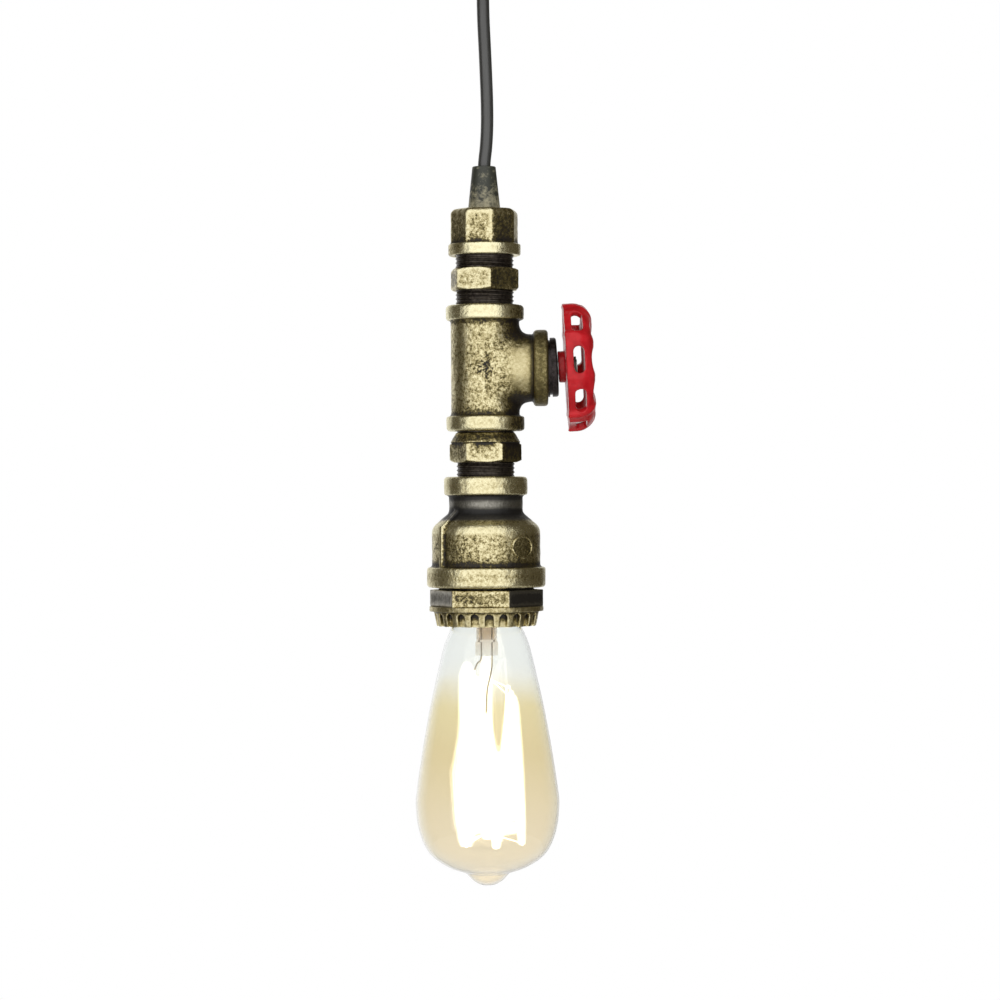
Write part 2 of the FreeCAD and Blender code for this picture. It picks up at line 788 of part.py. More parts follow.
def cord_grip():
    body = new_body("cord_grip")
    turned(body, swing_mouth("-grip_length", " + ") + [
        (CORD_BORE, GRIP_SPIGOT), ("grip_spigot_radius", GRIP_SPIGOT),
        ("grip_spigot_radius", "0"), ("grip_radius", "0"), ("grip_radius", "-grip_length")])
    rounded(body, "bead_round", rings(("grip_radius", "-grip_length")))
    sketch = new_sketch(body, "XZ_Plane")
    draw_circle(sketch, "grub_radius + seat", ("0", "-grub_drop"))
    extruded(body, sketch, "grip_radius", cut=True)
    hang(body, "canopy_height")


def hex_nut(label, radius, height, bore, low="0"):
    """A hexagon nut standing on its flat, from its corner radius."""
    body = new_body(label)
    prism(body, 6, radius, "0", height, low)
    drilled(body, bore, low, height)
    return body


def ceiling_cord_end():
    """The cord's end held in the grip, and the two cores that leave it."""
    start = "(" + GRIP_BOTTOM + " - " + STUB_INSET + ")"
    top = "(canopy_height - " + GRIP_SPIGOT + " - stub_show)"
    keep(cylinder("cord_radius", start + " - " + top, ("0", "0", "-" + start)), "ceiling_cord_end")
    level = -value("bracket_thick + block_height / 2")
    end = -value("block_offset - block_width / 2 + sleeve_inset + core_insert")
    offset = value("core_offset")
    pole = value("pole_offset")
    foot = -value(top)
    for label, side in (("ceiling_live_core", -1), ("ceiling_neutral_core", 1)):
        route = [Vector(0, side * offset, foot), Vector(0, side * offset, foot + 4.5),
                 Vector(-5, side * pole, level), Vector(end, side * pole, level)]
        wire_piece(label, [route], "core_radius")


def grip_clamp_screw():
    length = "(grip_radius - cord_radius - 2 * seat)"
    item = cylinder("grub_radius", length,
                    ("0", "cord_radius + seat", "-canopy_height - grub_drop"), "y")
    keep(item, "grip_clamp_screw")


# Cord


def pendant_cord():
    """The free cord between the grip and the boot, with its slight bow."""
    top = value(GRIP_BOTTOM + " - mouth_inset - cord_tail")
    bottom = value("drop + mouth_inset + cord_tail")
    straight = value("cord_tail + cord_straight")
    points = [Vector(0, 0, -top)]
    points += [Vector(sideways, 0, -depth) for sideways, depth in CORD_ROUTE]
    points += [Vector(0, 0, straight - bottom), Vector(0, 0, -bottom)]
    solid, radii, length = tube(points, value("cord_radius"))
    print("cord length %.1f mm, arc radii %s mm" % (length, ["%.0f" % radius for radius in radii]))
    shaped("pendant_cord", solid)


# Top of the lamp


def strain_relief_boot():
    body = new_body("strain_relief_boot")
    turned(body, swing_mouth("boot_length", " - ") + [
        (CORD_BORE, "-" + BOOT_SPIGOT), ("boot_spigot_radius", "-" + BOOT_SPIGOT),
        ("boot_spigot_radius", "0"), ("boot_base_radius", "0"), ("boot_top_radius", "boot_length")])
    rounded(body, "boot_round", rings(("boot_top_radius", "boot_length")))
    hang(body, CAP_TOP)


def cord_stop_collar():
    body = new_body("cord_stop_collar")
    turned(body, [(CORD_BORE, "0"), ("collar_radius", "0"), ("collar_radius", "-collar_height"),
                  (CORD_BORE, "-collar_height")])
    hang(body, CAP_TOP + " + " + BOOT_SPIGOT)


def lamp_cord_end():
    start = "(drop + " + STUB_INSET + ")"
    end = "(" + CAP_TOP + " + " + BOOT_SPIGOT + " + collar_height + stub_show)"
    keep(cylinder("cord_radius", end + " - " + start, ("0", "0", "-" + end)), "lamp_cord_end")


def octagonal_cap():
    body = new_body("octagonal_cap")
    prism(body, 8, "octagon_radius", "octagon_turn", "cap_height")
    rounded(body, "octagon_round", lambda edge: edge.BoundBox.ZMax > value("cap_height / 2"))
    turned(body, [("boot_spigot_radius", "0"), ("cap_bead_radius", "0"),
                  ("cap_bead_radius", "cap_bead_height"), ("boot_spigot_radius", "cap_bead_height")])
    rounded(body, "cap_bead_round", rings(("cap_bead_radius", "0"),
                                          ("cap_bead_radius", "cap_bead_height")))
    bore = "(thread_radius + thread_gap)"
    hole = "(boot_spigot_radius + seat)"
    turned(body, [("0", "0"), (bore, "0"), (bore, "cap_bite"), ("cap_cavity_radius", "cap_bite"),
                  ("cap_cavity_radius", "cap_height - cap_wall"), (hole, "cap_height - cap_wall"),
                  (hole, "cap_height"), ("0", "cap_height")], cut=True)
    hang(body, CAP_BOTTOM)


def thread(start, length):
    """Outline of a male pipe thread going up from a height, as many ridges as fit."""
    root = "thread_radius - thread_depth"
    outline = []
    for index in range(int(value(length) / value("thread_pitch"))):
        for radius, share in ((root, 0.0), ("thread_radius", 0.4), ("thread_radius", 0.55)):
            outline.append((radius, "%s + %g * thread_pitch" % (start, index + share)))
    outline.append((root, start + " + " + length))
    return outline


def hex_nipple(label, hex_radius, hex_height, hex_turn, below, cone, above):
    """A nipple with a hexagon at its foot plane, threaded below it and above its cone."""
    body = new_body(label)
    top = "(" + hex_height + " + " + cone + ")"
    turned(body, [("nipple_bore", "-" + below)] + thread("-" + below, below)
           + thread(top, above) + [("nipple_bore", top + " + " + above)])
    prism(body, 6, hex_radius, hex_turn, hex_height)
    drilled(body, "nipple_bore", "0", hex_height)
    flat = hex_radius + " * cos(30)"
    beyond = hex_radius + " + hex_chamfer"
    turned(body, [(flat, "0"), (flat, "-hex_chamfer"), (beyond, "-hex_chamfer"),
                  (beyond, "hex_chamfer"), (hex_radius, "hex_chamfer")], cut=True)
    turned(body, [(flat, hex_height), (hex_radius, hex_height + " - hex_chamfer"),
                  (beyond, hex_height + " - hex_chamfer"), (beyond, hex_height + " + hex_chamfer"),
                  (flat, hex_height + " + hex_chamfer")], cut=True)
    return body


def upper_hex_nipple():
    body = hex_nipple("upper_hex_nipple", "upper_hex_radius", "upper_hex_height", "upper_hex_turn",
                      "(tee_thread_show + tee_bite - thread_end_gap)", "0",
                      "(upper_thread_show + cap_bite - thread_end_gap)")
    hang(body, UPPER_HEX_BOTTOM)


def lower_hex_nipple():
    body = hex_nipple("lower_hex_nipple", "lower_hex_radius", "lower_hex_height", "lower_hex_turn",
                      "(bell_thread_show + bell_bite - thread_end_gap)", "cone_height",
                      "(cone_thread_show + tee_bite - thread_end_gap)")
    top = "lower_hex_height + cone_height"
    turned(body, [("nipple_bore", "lower_hex_height"), ("cone_radius", "lower_hex_height"),
                  ("thread_radius", top), ("nipple_bore", top)])
    hang(body, LOWER_HEX_BOTTOM)


def tee():
    body = new_body("tee")
    half = "(tee_length / 2)"
    waist = "(tee_length / 2 - tee_bead_height)"
    turned(body, [("0", "-" + half), ("tee_bead_radius", "-" + half),
                  ("tee_bead_radius", "-" + waist), ("tee_radius", "-" + waist),
                  ("tee_radius", waist), ("tee_bead_radius", waist),
                  ("tee_bead_radius", half), ("0", half)])
    neck = "(branch_reach - branch_bead_height)"
    turned(body, [("0", "0"), ("branch_reach", "0"), ("branch_reach", "branch_bead_radius"),
                  (neck, "branch_bead_radius"), (neck, "branch_radius"), ("0", "branch_radius")],
           across=True)
    rounded(body, "0.56 * (" + waist + " - branch_radius)",
            lambda edge: not isinstance(edge.Curve, (Part.Circle, Part.Line)))
    rounded(body, "cast_round", rings(("tee_radius", "-" + waist), ("tee_radius", waist)))
    rounded(body, "bead_round", rings(("tee_bead_radius", "-" + waist), ("tee_bead_radius", waist)))
    rounded(body, "bead_end_round", rings(("tee_bead_radius", "-" + half),
                                          ("tee_bead_radius", half)))
    rounded(body, "branch_bead_round", rings(("branch_bead_radius", neck),
                                             ("branch_bead_radius", "branch_reach"), along="x"))
    bore = "(thread_radius + thread_gap)"
    seat = "(tee_length / 2 - tee_bite)"
    turned(body, [("0", "-" + half), (bore, "-" + half), (bore, "-" + seat),
                  ("passage_radius", "-" + seat), ("passage_radius", seat), (bore, seat),
                  (bore, half), ("0", half)], cut=True)
    port = "(plug_radius + lean_room)"
    floor = "(" + PLUG_REAR + " - thread_end_gap - lean_room)"
    turned(body, [("0", "0"), ("branch_reach", "0"), ("branch_reach", port), (floor, port),
                  (floor, "passage_radius"), ("0", "passage_radius")], cut=True, across=True)
    hang(body, BRANCH)


def bell_reducer():
    body = new_body("bell_reducer")
    shoulder = "(bell_length - bell_top_height - bell_neck_height - bell_shoulder_height)"
    neck = "(" + shoulder + " + bell_shoulder_height)"
    collar = "(bell_length - bell_top_height)"
    turned(body, [("0", "0"), ("bell_rim_radius", "0"), ("bell_rim_radius", "bell_rim_height"),
                  ("bell_radius", "bell_rim_height"), ("bell_radius", shoulder),
                  ("bell_neck_radius", neck), ("bell_neck_radius", collar),
                  ("bell_top_radius", collar), ("bell_top_radius", "bell_length"),
                  ("0", "bell_length")])
    rounded(body, "bell_neck_round", rings(("bell_neck_radius", neck)))
    rounded(body, "bell_shoulder_round", rings(("bell_radius", shoulder)))
    rounded(body, "bead_round", rings(("bell_rim_radius", "bell_rim_height"),
                                      ("bell_radius", "bell_rim_height"),
                                      ("bell_neck_radius", collar), ("bell_top_radius", collar)))
    rounded(body, "bead_end_round", rings(("bell_rim_radius", "0"),
                                          ("bell_top_radius", "bell_length")))
    sketch = new_sketch(body, "XZ_Plane")
    draw_outline(sketch, [
        ("bell_radius - bell_rib_root", "bell_rim_height / 2"),
        ("bell_radius + bell_rib_proud", "bell_rim_height / 2"),
        ("bell_radius + bell_rib_proud", shoulder + " + bell_rib_proud / 2"),
        ("bell_neck_radius + bell_rib_proud", neck + " + bell_rib_proud / 2"),
        ("bell_neck_radius - bell_rib_root", neck + " + bell_neck_round"),
        ("bell_neck_radius - bell_rib_root", neck + " - bell_rib_root"),
        ("bell_radius - bell_rib_root", shoulder + " - bell_rib_root")])
    rib = extruded(body, sketch, "bell_rib_width", both=True)
    repeated(body, [rib], "2")
    bore = "(thread_radius + thread_gap)"
    mouth = "(bell_radius - bell_wall)"
    turned(body, [("0", "0"), (mouth, "0"), (mouth, shoulder + " - bell_inner_drop"),
                  (bore, neck + " - bell_inner_drop"), (bore, "bell_length"),
                  ("0", "bell_length")], cut=True)
    hang(body, BELL_BOTTOM, "bell_rib_turn")


def hex_bushing():
    body = new_body("hex_bushing")
    crest = "(bell_radius - bell_wall - thread_gap)"
    root = "(" + crest + " - thread_depth)"
    top = "(bushing_hex_height + bushing_gap + bushing_bite)"
    turned(body, [("0", "0"), (root, "0"), (root, "bushing_hex_height"), (crest, "bushing_hex_height"),
                  (crest, top), ("0", top)])
    prism(body, 6, "bushing_hex_radius", "bushing_hex_turn", "bushing_hex_height")
    bore = "(casing_radius + seat)"
    lip = "(casing_radius - casing_step + seat)"
    turned(body, [("0", "0"), (bore, "0"), (bore, top + " - bushing_lip"),
                  (lip, top + " - bushing_lip"), (lip, top), ("0", top)], cut=True)
    hang(body, BUSHING_BOTTOM)


def crown_ring():
    body = new_body("crown_ring")
    top = "(crown_skirt_height + crown_flange_height)"
    bore = "(casing_radius + seat)"
    turned(body, [("crown_opening_radius", "0"), ("crown_low_radius", "0"),
                  ("crown_top_radius", "crown_skirt_height"),
                  ("crown_flange_radius", "crown_skirt_height"), ("crown_flange_radius", top),
                  (bore, top), (bore, "crown_opening_depth"),
                  ("crown_opening_radius", "crown_opening_depth")])
    sketch = new_sketch(body, "XZ_Plane", "crown_flange_radius")
    draw_slot(sketch, ("0", "-notch_top"), ("0", "notch_top - notch_radius"), "notch_radius")
    notch = extruded(body, sketch, "crown_flange_radius - notch_floor_radius", cut=True)
    repeated(body, [notch], "notch_count")
    hang(body, CROWN_BOTTOM, "notch_turn")


# Lampholder


def lampholder_casing():
    body = new_body("lampholder_casing")
    top = "(holder_length + seat + casing_wall)"
    slim = "(casing_radius - casing_step)"
    ledge = "(" + CASING_SHOULDER + " - casing_wall)"
    turned(body, [("casing_radius - casing_wall", "0"), ("casing_radius", "0"),
                  ("casing_radius", CASING_SHOULDER), (slim, CASING_SHOULDER), (slim, top),
                  ("casing_lip_radius", top), ("casing_lip_radius", top + " - casing_wall"),
                  (slim + " - casing_wall", top + " - casing_wall"),
                  (slim + " - casing_wall", ledge), ("casing_radius - casing_wall", ledge)])
    hang(body, HOLDER_BOTTOM)


def lampholder_insulator():
    body = new_body("lampholder_insulator")
    ledge = "(" + CASING_SHOULDER + " - casing_wall - seat)"
    slim = "(" + INSULATOR_RADIUS + " - casing_step)"
    turned(body, [("holder_mouth_radius", "0"), (INSULATOR_RADIUS, "0"), (INSULATOR_RADIUS, ledge),
                  (slim, ledge), (slim, "holder_length"), ("0", "holder_length"),
                  ("0", HOLDER_CEILING), ("holder_bore", HOLDER_CEILING),
                  ("holder_bore", "holder_mouth_height")])
    for middle in ("near_terminal", "far_terminal"):
        drilled(body, "rivet_radius + seat", HOLDER_CEILING, "holder_top_wall", (middle, "0"))
    hang(body, HOLDER_BOTTOM)


def screw_shell():
    body = new_body("screw_shell")
    outer = "(shell_bore + shell_wall)"
    turned(body, [("shell_hole", SHELL_TOP), (outer, SHELL_TOP), (outer, SHELL_TOP + " - shell_length"),
                  ("shell_bore", SHELL_TOP + " - shell_length"),
                  ("shell_bore", SHELL_TOP + " - shell_wall"),
                  ("shell_hole", SHELL_TOP + " - shell_wall")])
    hang(body, HOLDER_BOTTOM)


def centre_contact():
    bottom = SHELL_TOP + " - contact_thick"
    strip = box(("contact_end - contact_start", "contact_width", "contact_thick"),
                ("(contact_end + contact_start) / 2", "0"), bottom)
    boss = cylinder("contact_boss_radius", "contact_boss_height",
                    ("0", "0", bottom + " - contact_boss_height"))
    hang(keep(fused([strip, boss]), "centre_contact"), HOLDER_BOTTOM)


def contact_terminals():
    """The lampholder's two terminal blocks, their rivets and their screws."""
    blocks = []
    screws = []
    front = "-terminal_width / 2"
    level = "holder_length + terminal_height / 2"
    wire_floor = "holder_length + terminal_height - wire_hole_depth"
    shank = "(terminal_width / 2 + wire_hole_offset - core_radius - seat)"
    for middle in ("near_terminal", "far_terminal"):
        body = box(("terminal_length", "terminal_width", "terminal_height"), (middle, "0"),
                   "holder_length")
        rivet = cylinder("rivet_radius", "holder_top_wall + seat", (middle, "0", SHELL_TOP))
        wire_hole = cylinder("core_radius + seat", "wire_hole_depth",
                             (middle, "wire_hole_offset", wire_floor))
        tapping = cylinder("small_screw_radius + seat", "terminal_width / 2 + wire_hole_offset",
                           (middle, front, level), "y")
        blocks.append(less(fused([body, rivet]), [wire_hole, tapping]))
        stem = cylinder("small_screw_radius", shank, (middle, front, level), "y")
        head = cylinder("small_screw_head_radius", "small_screw_head",
                        (middle, front + " - small_screw_head", level), "y")
        screws.append(fused([stem, head]))
    hang(keep(grouped(blocks), "contact_terminals"), HOLDER_BOTTOM)
    hang(keep(grouped(screws), "contact_terminal_screws"), HOLDER_BOTTOM)


# Branch, switch and handwheel


def branch_plug():
    body = new_body("branch_plug")
    inner = "(" + PLUG_FACE + " - plug_wall)"
    hole = "(switch_neck_radius + seat)"
    start = "(branch_reach + plug_groove_start)"
    end = "(" + start + " + plug_groove_width)"
    waist = "(plug_radius - plug_groove_depth)"
    turned(body, [("plug_cavity_radius", PLUG_REAR), ("plug_radius", PLUG_REAR),
                  ("plug_radius", start), (waist, start), (waist, end), ("plug_radius", end),
                  ("plug_radius", PLUG_FACE), (hole, PLUG_FACE), (hole, inner),
                  ("plug_cavity_radius", inner)])
    rounded(body, "plug_round", rings(("plug_radius", PLUG_FACE)))
    put_on_valve(body)


def switch_housing():
    body = new_body("switch_housing")
    inner = "(switch_radius - switch_wall)"
    front = "(switch_front - switch_wall)"
    neck = "(" + PLUG_FACE + " - hub_gap)"
    bore = "(spindle_radius + seat)"
    turned(body, [(inner, "switch_rear"), ("switch_radius", "switch_rear"),
                  ("switch_radius", "switch_front"), ("switch_neck_radius", "switch_front"),
                  ("switch_neck_radius", neck), (bore, neck), (bore, front), (inner, front)])
    put_on_valve(body)


def switch_end_cover():
    low = "(switch_rear - switch_cover_thick)"
    middle = "(blade_inset + blade_thick / 2)"
    disc = cylinder("switch_radius", "switch_cover_thick", ("0", "0", low))
    slots = [box(("blade_width + 2 * seat", "blade_thick + 2 * seat", "switch_cover_thick"),
                 ("0", side + middle), low) for side in ("-", "")]
    put_on_valve(keep(less(disc, slots), "switch_end_cover"))


def switch_contacts():
    rear = "(switch_rear - switch_cover_thick - blade_tail)"
    blades = [box(("blade_width", "blade_thick", "blade_front - " + rear),
                  ("0", side + "(blade_inset + blade_thick / 2)"), rear) for side in ("-", "")]
    put_on_valve(keep(grouped(blades), "switch_contacts"))


def switch_jam_nut():
    low = "(" + PLUG_FACE + " - plug_wall - jam_nut_height)"
    put_on_valve(hex_nut("switch_jam_nut", "jam_nut_radius", "jam_nut_height",
                         "switch_neck_radius + seat", low))


def switch_rotor():
    middle = "(rotor_rear + bridge_setback)"
    seat = "(rotor_rear + spindle_setback)"
    drum = cylinder("rotor_radius", ROTOR_FRONT + " - rotor_rear", ("0", "0", "rotor_rear"))
    holes = [cylinder("spindle_radius + seat", ROTOR_FRONT + " - " + seat, ("0", "0", seat)),
             cylinder("bridge_radius + seat", "2 * rotor_radius", ("0", "-rotor_radius", middle), "y")]
    put_on_valve(keep(less(drum, holes), "switch_rotor"))
    bridge = cylinder("bridge_radius", "2 * bridge_reach", ("0", "-bridge_reach", middle), "y")
    put_on_valve(keep(grouped([bridge]), "rotor_contact_bridge"))


def spindle():
    low = "(rotor_rear + spindle_setback)"
    top = "(" + NUT_TOP + " + spindle_spare)"
    body = new_body("spindle")
    turned(body, [("0", low), ("spindle_radius", low), ("spindle_radius", top), ("0", top)])
    put_on_valve(body)


def wheel_fasteners():
    washer = new_body("wheel_washer")
    hole = "(spindle_radius + seat)"
    turned(washer, [(hole, HUB_TOP), ("washer_radius", HUB_TOP),
                    ("washer_radius", HUB_TOP + " + washer_thick"),
                    (hole, HUB_TOP + " + washer_thick")])
    put_on_valve(washer)
    put_on_valve(hex_nut("wheel_nut", "wheel_nut_radius", "wheel_nut_height", hole,
                         HUB_TOP + " + washer_thick"))


def handwheel():
    """The wheel: a bowl-shaped rim with windows and a rib between each two, a web and a hub."""
    body = new_body("handwheel")
    crest = "(" + WHEEL_BACK + " + wheel_depth)"
    hole = "(spindle_radius + seat)"
    inner = "(wheel_radius - wheel_wall)"
    web = "(" + WHEEL_BACK + " + wheel_web)"
    turned(body, [(inner, WHEEL_BACK), ("wheel_radius", WHEEL_BACK), ("wheel_radius", crest),
                  ("wheel_lip_radius", crest), ("wheel_lip_radius", crest + " - wheel_wall"),
                  (inner, crest + " - wheel_wall")])
    rounded(body, "wheel_shoulder", rings(("wheel_radius", crest)))
    rounded(body, "wheel_shoulder - wheel_wall", rings((inner, crest + " - wheel_wall")))
    turned(body, [(hole, WHEEL_BACK), ("wheel_radius - wheel_wall / 2", WHEEL_BACK),
                  ("wheel_radius - wheel_wall / 2", web), (hole, web)])
    turned(body, [(hole, HUB_TOP + " - hub_height"), ("hub_radius", HUB_TOP + " - hub_height"),
                  ("hub_radius", HUB_TOP), (hole, HUB_TOP)])
    sketch = new_sketch(body, "YZ_Plane", "wheel_radius")
    middle = "(" + WHEEL_BACK + " + window_low + window_height / 2)"
    reach = "(window_width / 2 - window_height / 2)"
    draw_slot(sketch, ("-" + reach, middle), (reach, middle), "(window_height / 2)")
    window = extruded(body, sketch, "wheel_radius - wheel_lip_radius", cut=True)
    repeated(body, [window], "lobe_count")
    cutter = new_sketch(body, "XY_Plane", WHEEL_BACK)
    draw_circle(cutter, "lobe_cut_radius",
                ("(wheel_radius + lobe_cut_radius - lobe_cut_depth)", "0"))
    hollow = extruded(body, cutter, "wheel_depth", cut=True, back=True)
    repeated(body, [hollow], "lobe_count")
    groove_sketch = new_sketch(body, "YZ_Plane", "wheel_radius")
    draw_circle(groove_sketch, "crest_cut_radius",
                ("0", "(" + crest + " + crest_cut_radius - crest_cut_depth)"))
    groove = extruded(body, groove_sketch, "wheel_radius - wheel_lip_radius + 1", cut=True)
    repeated(body, [groove], "lobe_count")
    hole_sketch = new_sketch(body, "XY_Plane", WHEEL_BACK)
    draw_circle(hole_sketch, "web_hole_radius", ("web_hole_centre", "0"))
    pierced = extruded(body, hole_sketch, "wheel_web", cut=True, back=True)
    repeated(body, [pierced], "web_hole_count")
    put_on_valve(body, "lobe_turn")


# Wires inside the lamp


def lamp_cores():
    """Live to the switch, switched live and neutral to the lampholder."""
    stub = -value(CAP_TOP + " + " + BOOT_SPIGOT + " + collar_height + stub_show")
    offset = value("core_offset")
    tab_middle = value("blade_inset + blade_thick / 2")
    tab_along = value("switch_rear - switch_cover_thick - blade_tail / 2")
    tab_edge = value("blade_width / 2 + wire_gap")
    branch = -value(BRANCH)
    top = -value(HOLDER_TOP + " - terminal_height")
    hole = value("wire_hole_depth - seat")
    aside = value("wire_hole_offset")
    near = value("near_terminal")
    far = value("far_terminal")
    live_end = on_valve(-tab_edge, tab_middle, tab_along)
    switched_start = on_valve(tab_edge, -tab_middle, tab_along)
    live = [Vector(offset, 0, stub), Vector(offset, 0, stub - 12), Vector(3.4, 4.0, branch + 26),
            live_end + Z_AXIS * 9, live_end]
    switched = [switched_start, switched_start - Z_AXIS * 12, Vector(2.5, -4.5, branch - 36),
                Vector(-2.0, -0.5, branch - 52), Vector(near, aside, top + 7),
                Vector(near, aside, top - hole)]
    neutral = [Vector(-offset, 0, stub), Vector(-offset, 0, stub - 12),
               Vector(-4.5, 0, branch + 22), Vector(-5.0, 0.5, branch - 18),
               Vector(-1.0, 1.0, branch - 38), Vector(5.0, 1.5, branch - 54),
               Vector(far, aside, top + 6), Vector(far, aside, top - hole)]
    wire_piece("live_supply_core", [live], "core_radius")
    wire_piece("switched_live_core", [switched], "core_radius")
    wire_piece("neutral_core", [neutral], "core_radius")


# Bulb, drawn down from the top of its centre contact


def bulb_cap():
    body = new_body("bulb_cap")
    inner = "(bulb_cap_radius - bulb_thread_depth - bulb_cap_wall)"
    trough = "bulb_cap_radius - bulb_thread_depth"
    shoulder = "(bulb_cap_top + bulb_cap_shoulder)"
    start = "-bulb_cap_length + bulb_cap_skirt"
    room = "bulb_cap_length - bulb_cap_skirt - " + shoulder
    outline = [(inner, "-bulb_cap_length"), ("bulb_cap_radius", "-bulb_cap_length")]
    for index in range(int(value(room) / value("bulb_thread_pitch"))):
        for radius, share in (("bulb_cap_radius", 0.12), (trough, 0.38), (trough, 0.62),
                              ("bulb_cap_radius", 0.88)):
            outline.append((radius, "%s + %g * bulb_thread_pitch" % (start, index + share)))
    outline += [("bulb_cap_radius", "-" + shoulder), ("bulb_cap_top_radius", "-bulb_cap_top"),
                ("bulb_cap_top_radius - bulb_cap_wall", "-bulb_cap_top"),
                ("bulb_cap_top_radius - bulb_cap_wall", "-bulb_cap_top - bulb_cap_wall"),
                (inner, "-" + shoulder + " - bulb_cap_wall")]
    turned(body, outline)
    hang(body, BULB_TOP)


def bulb_insulator():
    body = new_body("bulb_insulator")
    rim = "(bulb_cap_top_radius - bulb_cap_wall - seat)"
    low = "-(bulb_cap_top + bulb_insulator_thick)"
    turned(body, [("tip_hole", low), (rim, low), (rim, "-bulb_cap_top"),
                  ("tip_radius + bulb_cap_wall", "-tip_height"), ("tip_hole", "-tip_height")])
    hang(body, BULB_TOP)


def bulb_tip_contact():
    body = new_body("bulb_tip_contact")
    turned(body, [("0", "-tip_height"), ("tip_radius", "-tip_height"), ("tip_radius", "0"), ("0", "0")])
    rounded(body, "tip_round", rings(("tip_radius", "0")))
    hang(body, BULB_TOP)


def inset_points(curve, points, wall):
    """Points moved off a curve towards the bulb's inside by the glass wall."""
    moved = []
    for point in points:
        along = curve.tangent(curve.parameter(point))[0]
        moved.append(point + Vector(along.z, 0, -along.x).normalize() * wall)
    return moved


def smooth_curve(points, start, end):
    curve = Part.BSplineCurve()
    curve.interpolate(Points=points, InitialTangent=start, FinalTangent=end)
    return curve


def glass_envelope():
    """The pear and its pip, turned from outlines a wall apart."""
    radius = value("bulb_radius")
    length = value("bulb_length - bulb_cap_length")
    wall = value("glass_wall")
    neck = value(NECK_RADIUS)
    neck_end = Vector(neck, 0, -value("bulb_cap_length"))
    neck_top = Vector(neck, 0, -value(NECK_TOP))
    pear = [neck_end] + [neck_end + Vector(across * radius - neck, 0, -down * length)
                         for across, down in PEAR]
    pip = [neck_end + Vector(across * radius - neck, 0, -down * length) for across, down in PIP]
    plumb = Vector(0, 0, -1)
    tuck = Vector(-1, 0, -0.35)
    pip_start = Vector(-0.15, 0, -1)
    inward = Vector(-1, 0, 0)
    outer_pear = smooth_curve(pear, plumb, tuck)
    outer_pip = smooth_curve(pip, pip_start, inward)
    inner_pear_points = inset_points(outer_pear, pear, wall)
    inner_pip_points = inset_points(outer_pip, pip, wall)
    inner_pear = smooth_curve(inner_pear_points, plumb, tuck)
    inner_pip = smooth_curve(inner_pip_points, pip_start, inward)
    inner_top = neck_top - X_AXIS * wall
    edges = [
        Part.LineSegment(neck_top, neck_end).toShape(), outer_pear.toShape(), outer_pip.toShape(),
        Part.LineSegment(pip[-1], inner_pip_points[-1]).toShape(), inner_pip.toShape(),
        Part.LineSegment(inner_pip_points[0], inner_pear_points[-1]).toShape(),
        inner_pear.toShape(), Part.LineSegment(inner_pear_points[0], inner_top).toShape(),
        Part.LineSegment(inner_top, neck_top).toShape()]
    profile = Part.Face(Part.Wire(Part.sortEdges(edges)[0]))
    solid = profile.revolve(Vector(0, 0, 0), Z_AXIS, 360)
    hang(shaped("glass_envelope", solid), BULB_TOP)


def stem_glass():
    body = new_body("stem_glass")
    flare = "(" + NECK_RADIUS + " - glass_wall - seat)"
    inner = "(stem_radius - stem_wall)"
    waist = "-(" + NECK_TOP + " + stem_flare)"
    foot = "-(stem_bottom - press_height)"
    turned(body, [(flare, "-" + NECK_TOP), (flare, "-" + NECK_TOP + " - stem_wall"),
                  ("stem_radius", waist), ("stem_radius", foot), ("0", foot),
                  ("0", foot + " + stem_wall"), (inner, foot + " + stem_wall"),
                  (inner, waist + " + stem_wall / 2"), (flare + " - stem_wall", "-" + NECK_TOP)])
    sketch = new_sketch(body, "XY_Plane", "-stem_bottom")
    draw_outline(sketch, [("-press_width / 2", "-press_thick / 2"),
                          ("press_width / 2", "-press_thick / 2"),
                          ("press_width / 2", "press_thick / 2"),
                          ("-press_width / 2", "press_thick / 2")])
    extruded(body, sketch, "press_height")
    for side in ("-lead_spacing", "lead_spacing"):
        drilled(body, "lead_radius + seat", "-stem_bottom", "press_height + stem_wall", (side, "0"))
    hang(body, BULB_TOP)


def centre_rod():
    rod = cylinder("rod_radius", ROD_END + " - stem_bottom", ("0", "0", "-" + ROD_END))
    upper = cylinder("button_radius", "button_height",
                     ("0", "0", "-(" + UPPER_BUTTON + " + button_height)"))
    lower = cylinder("button_radius", "button_height", ("0", "0", "-" + ROD_END))
    hang(keep(fused([rod, upper, lower]), "centre_rod"), BULB_TOP)


def in_bulb(angle, across, down, sideways=0.0):
    """A point by its angle round the rod, its share of the bulb's radius, its share of the way
    down the filament, and a shift along the circle."""
    turn = math.radians(angle)
    radius = across * value("bulb_radius")
    top = value("stem_bottom")
    depth = top + down * (value(FILAMENT_BOTTOM) - top)
    return Vector(radius * math.cos(turn) - sideways * math.sin(turn),
                  radius * math.sin(turn) + sideways * math.cos(turn), -depth)


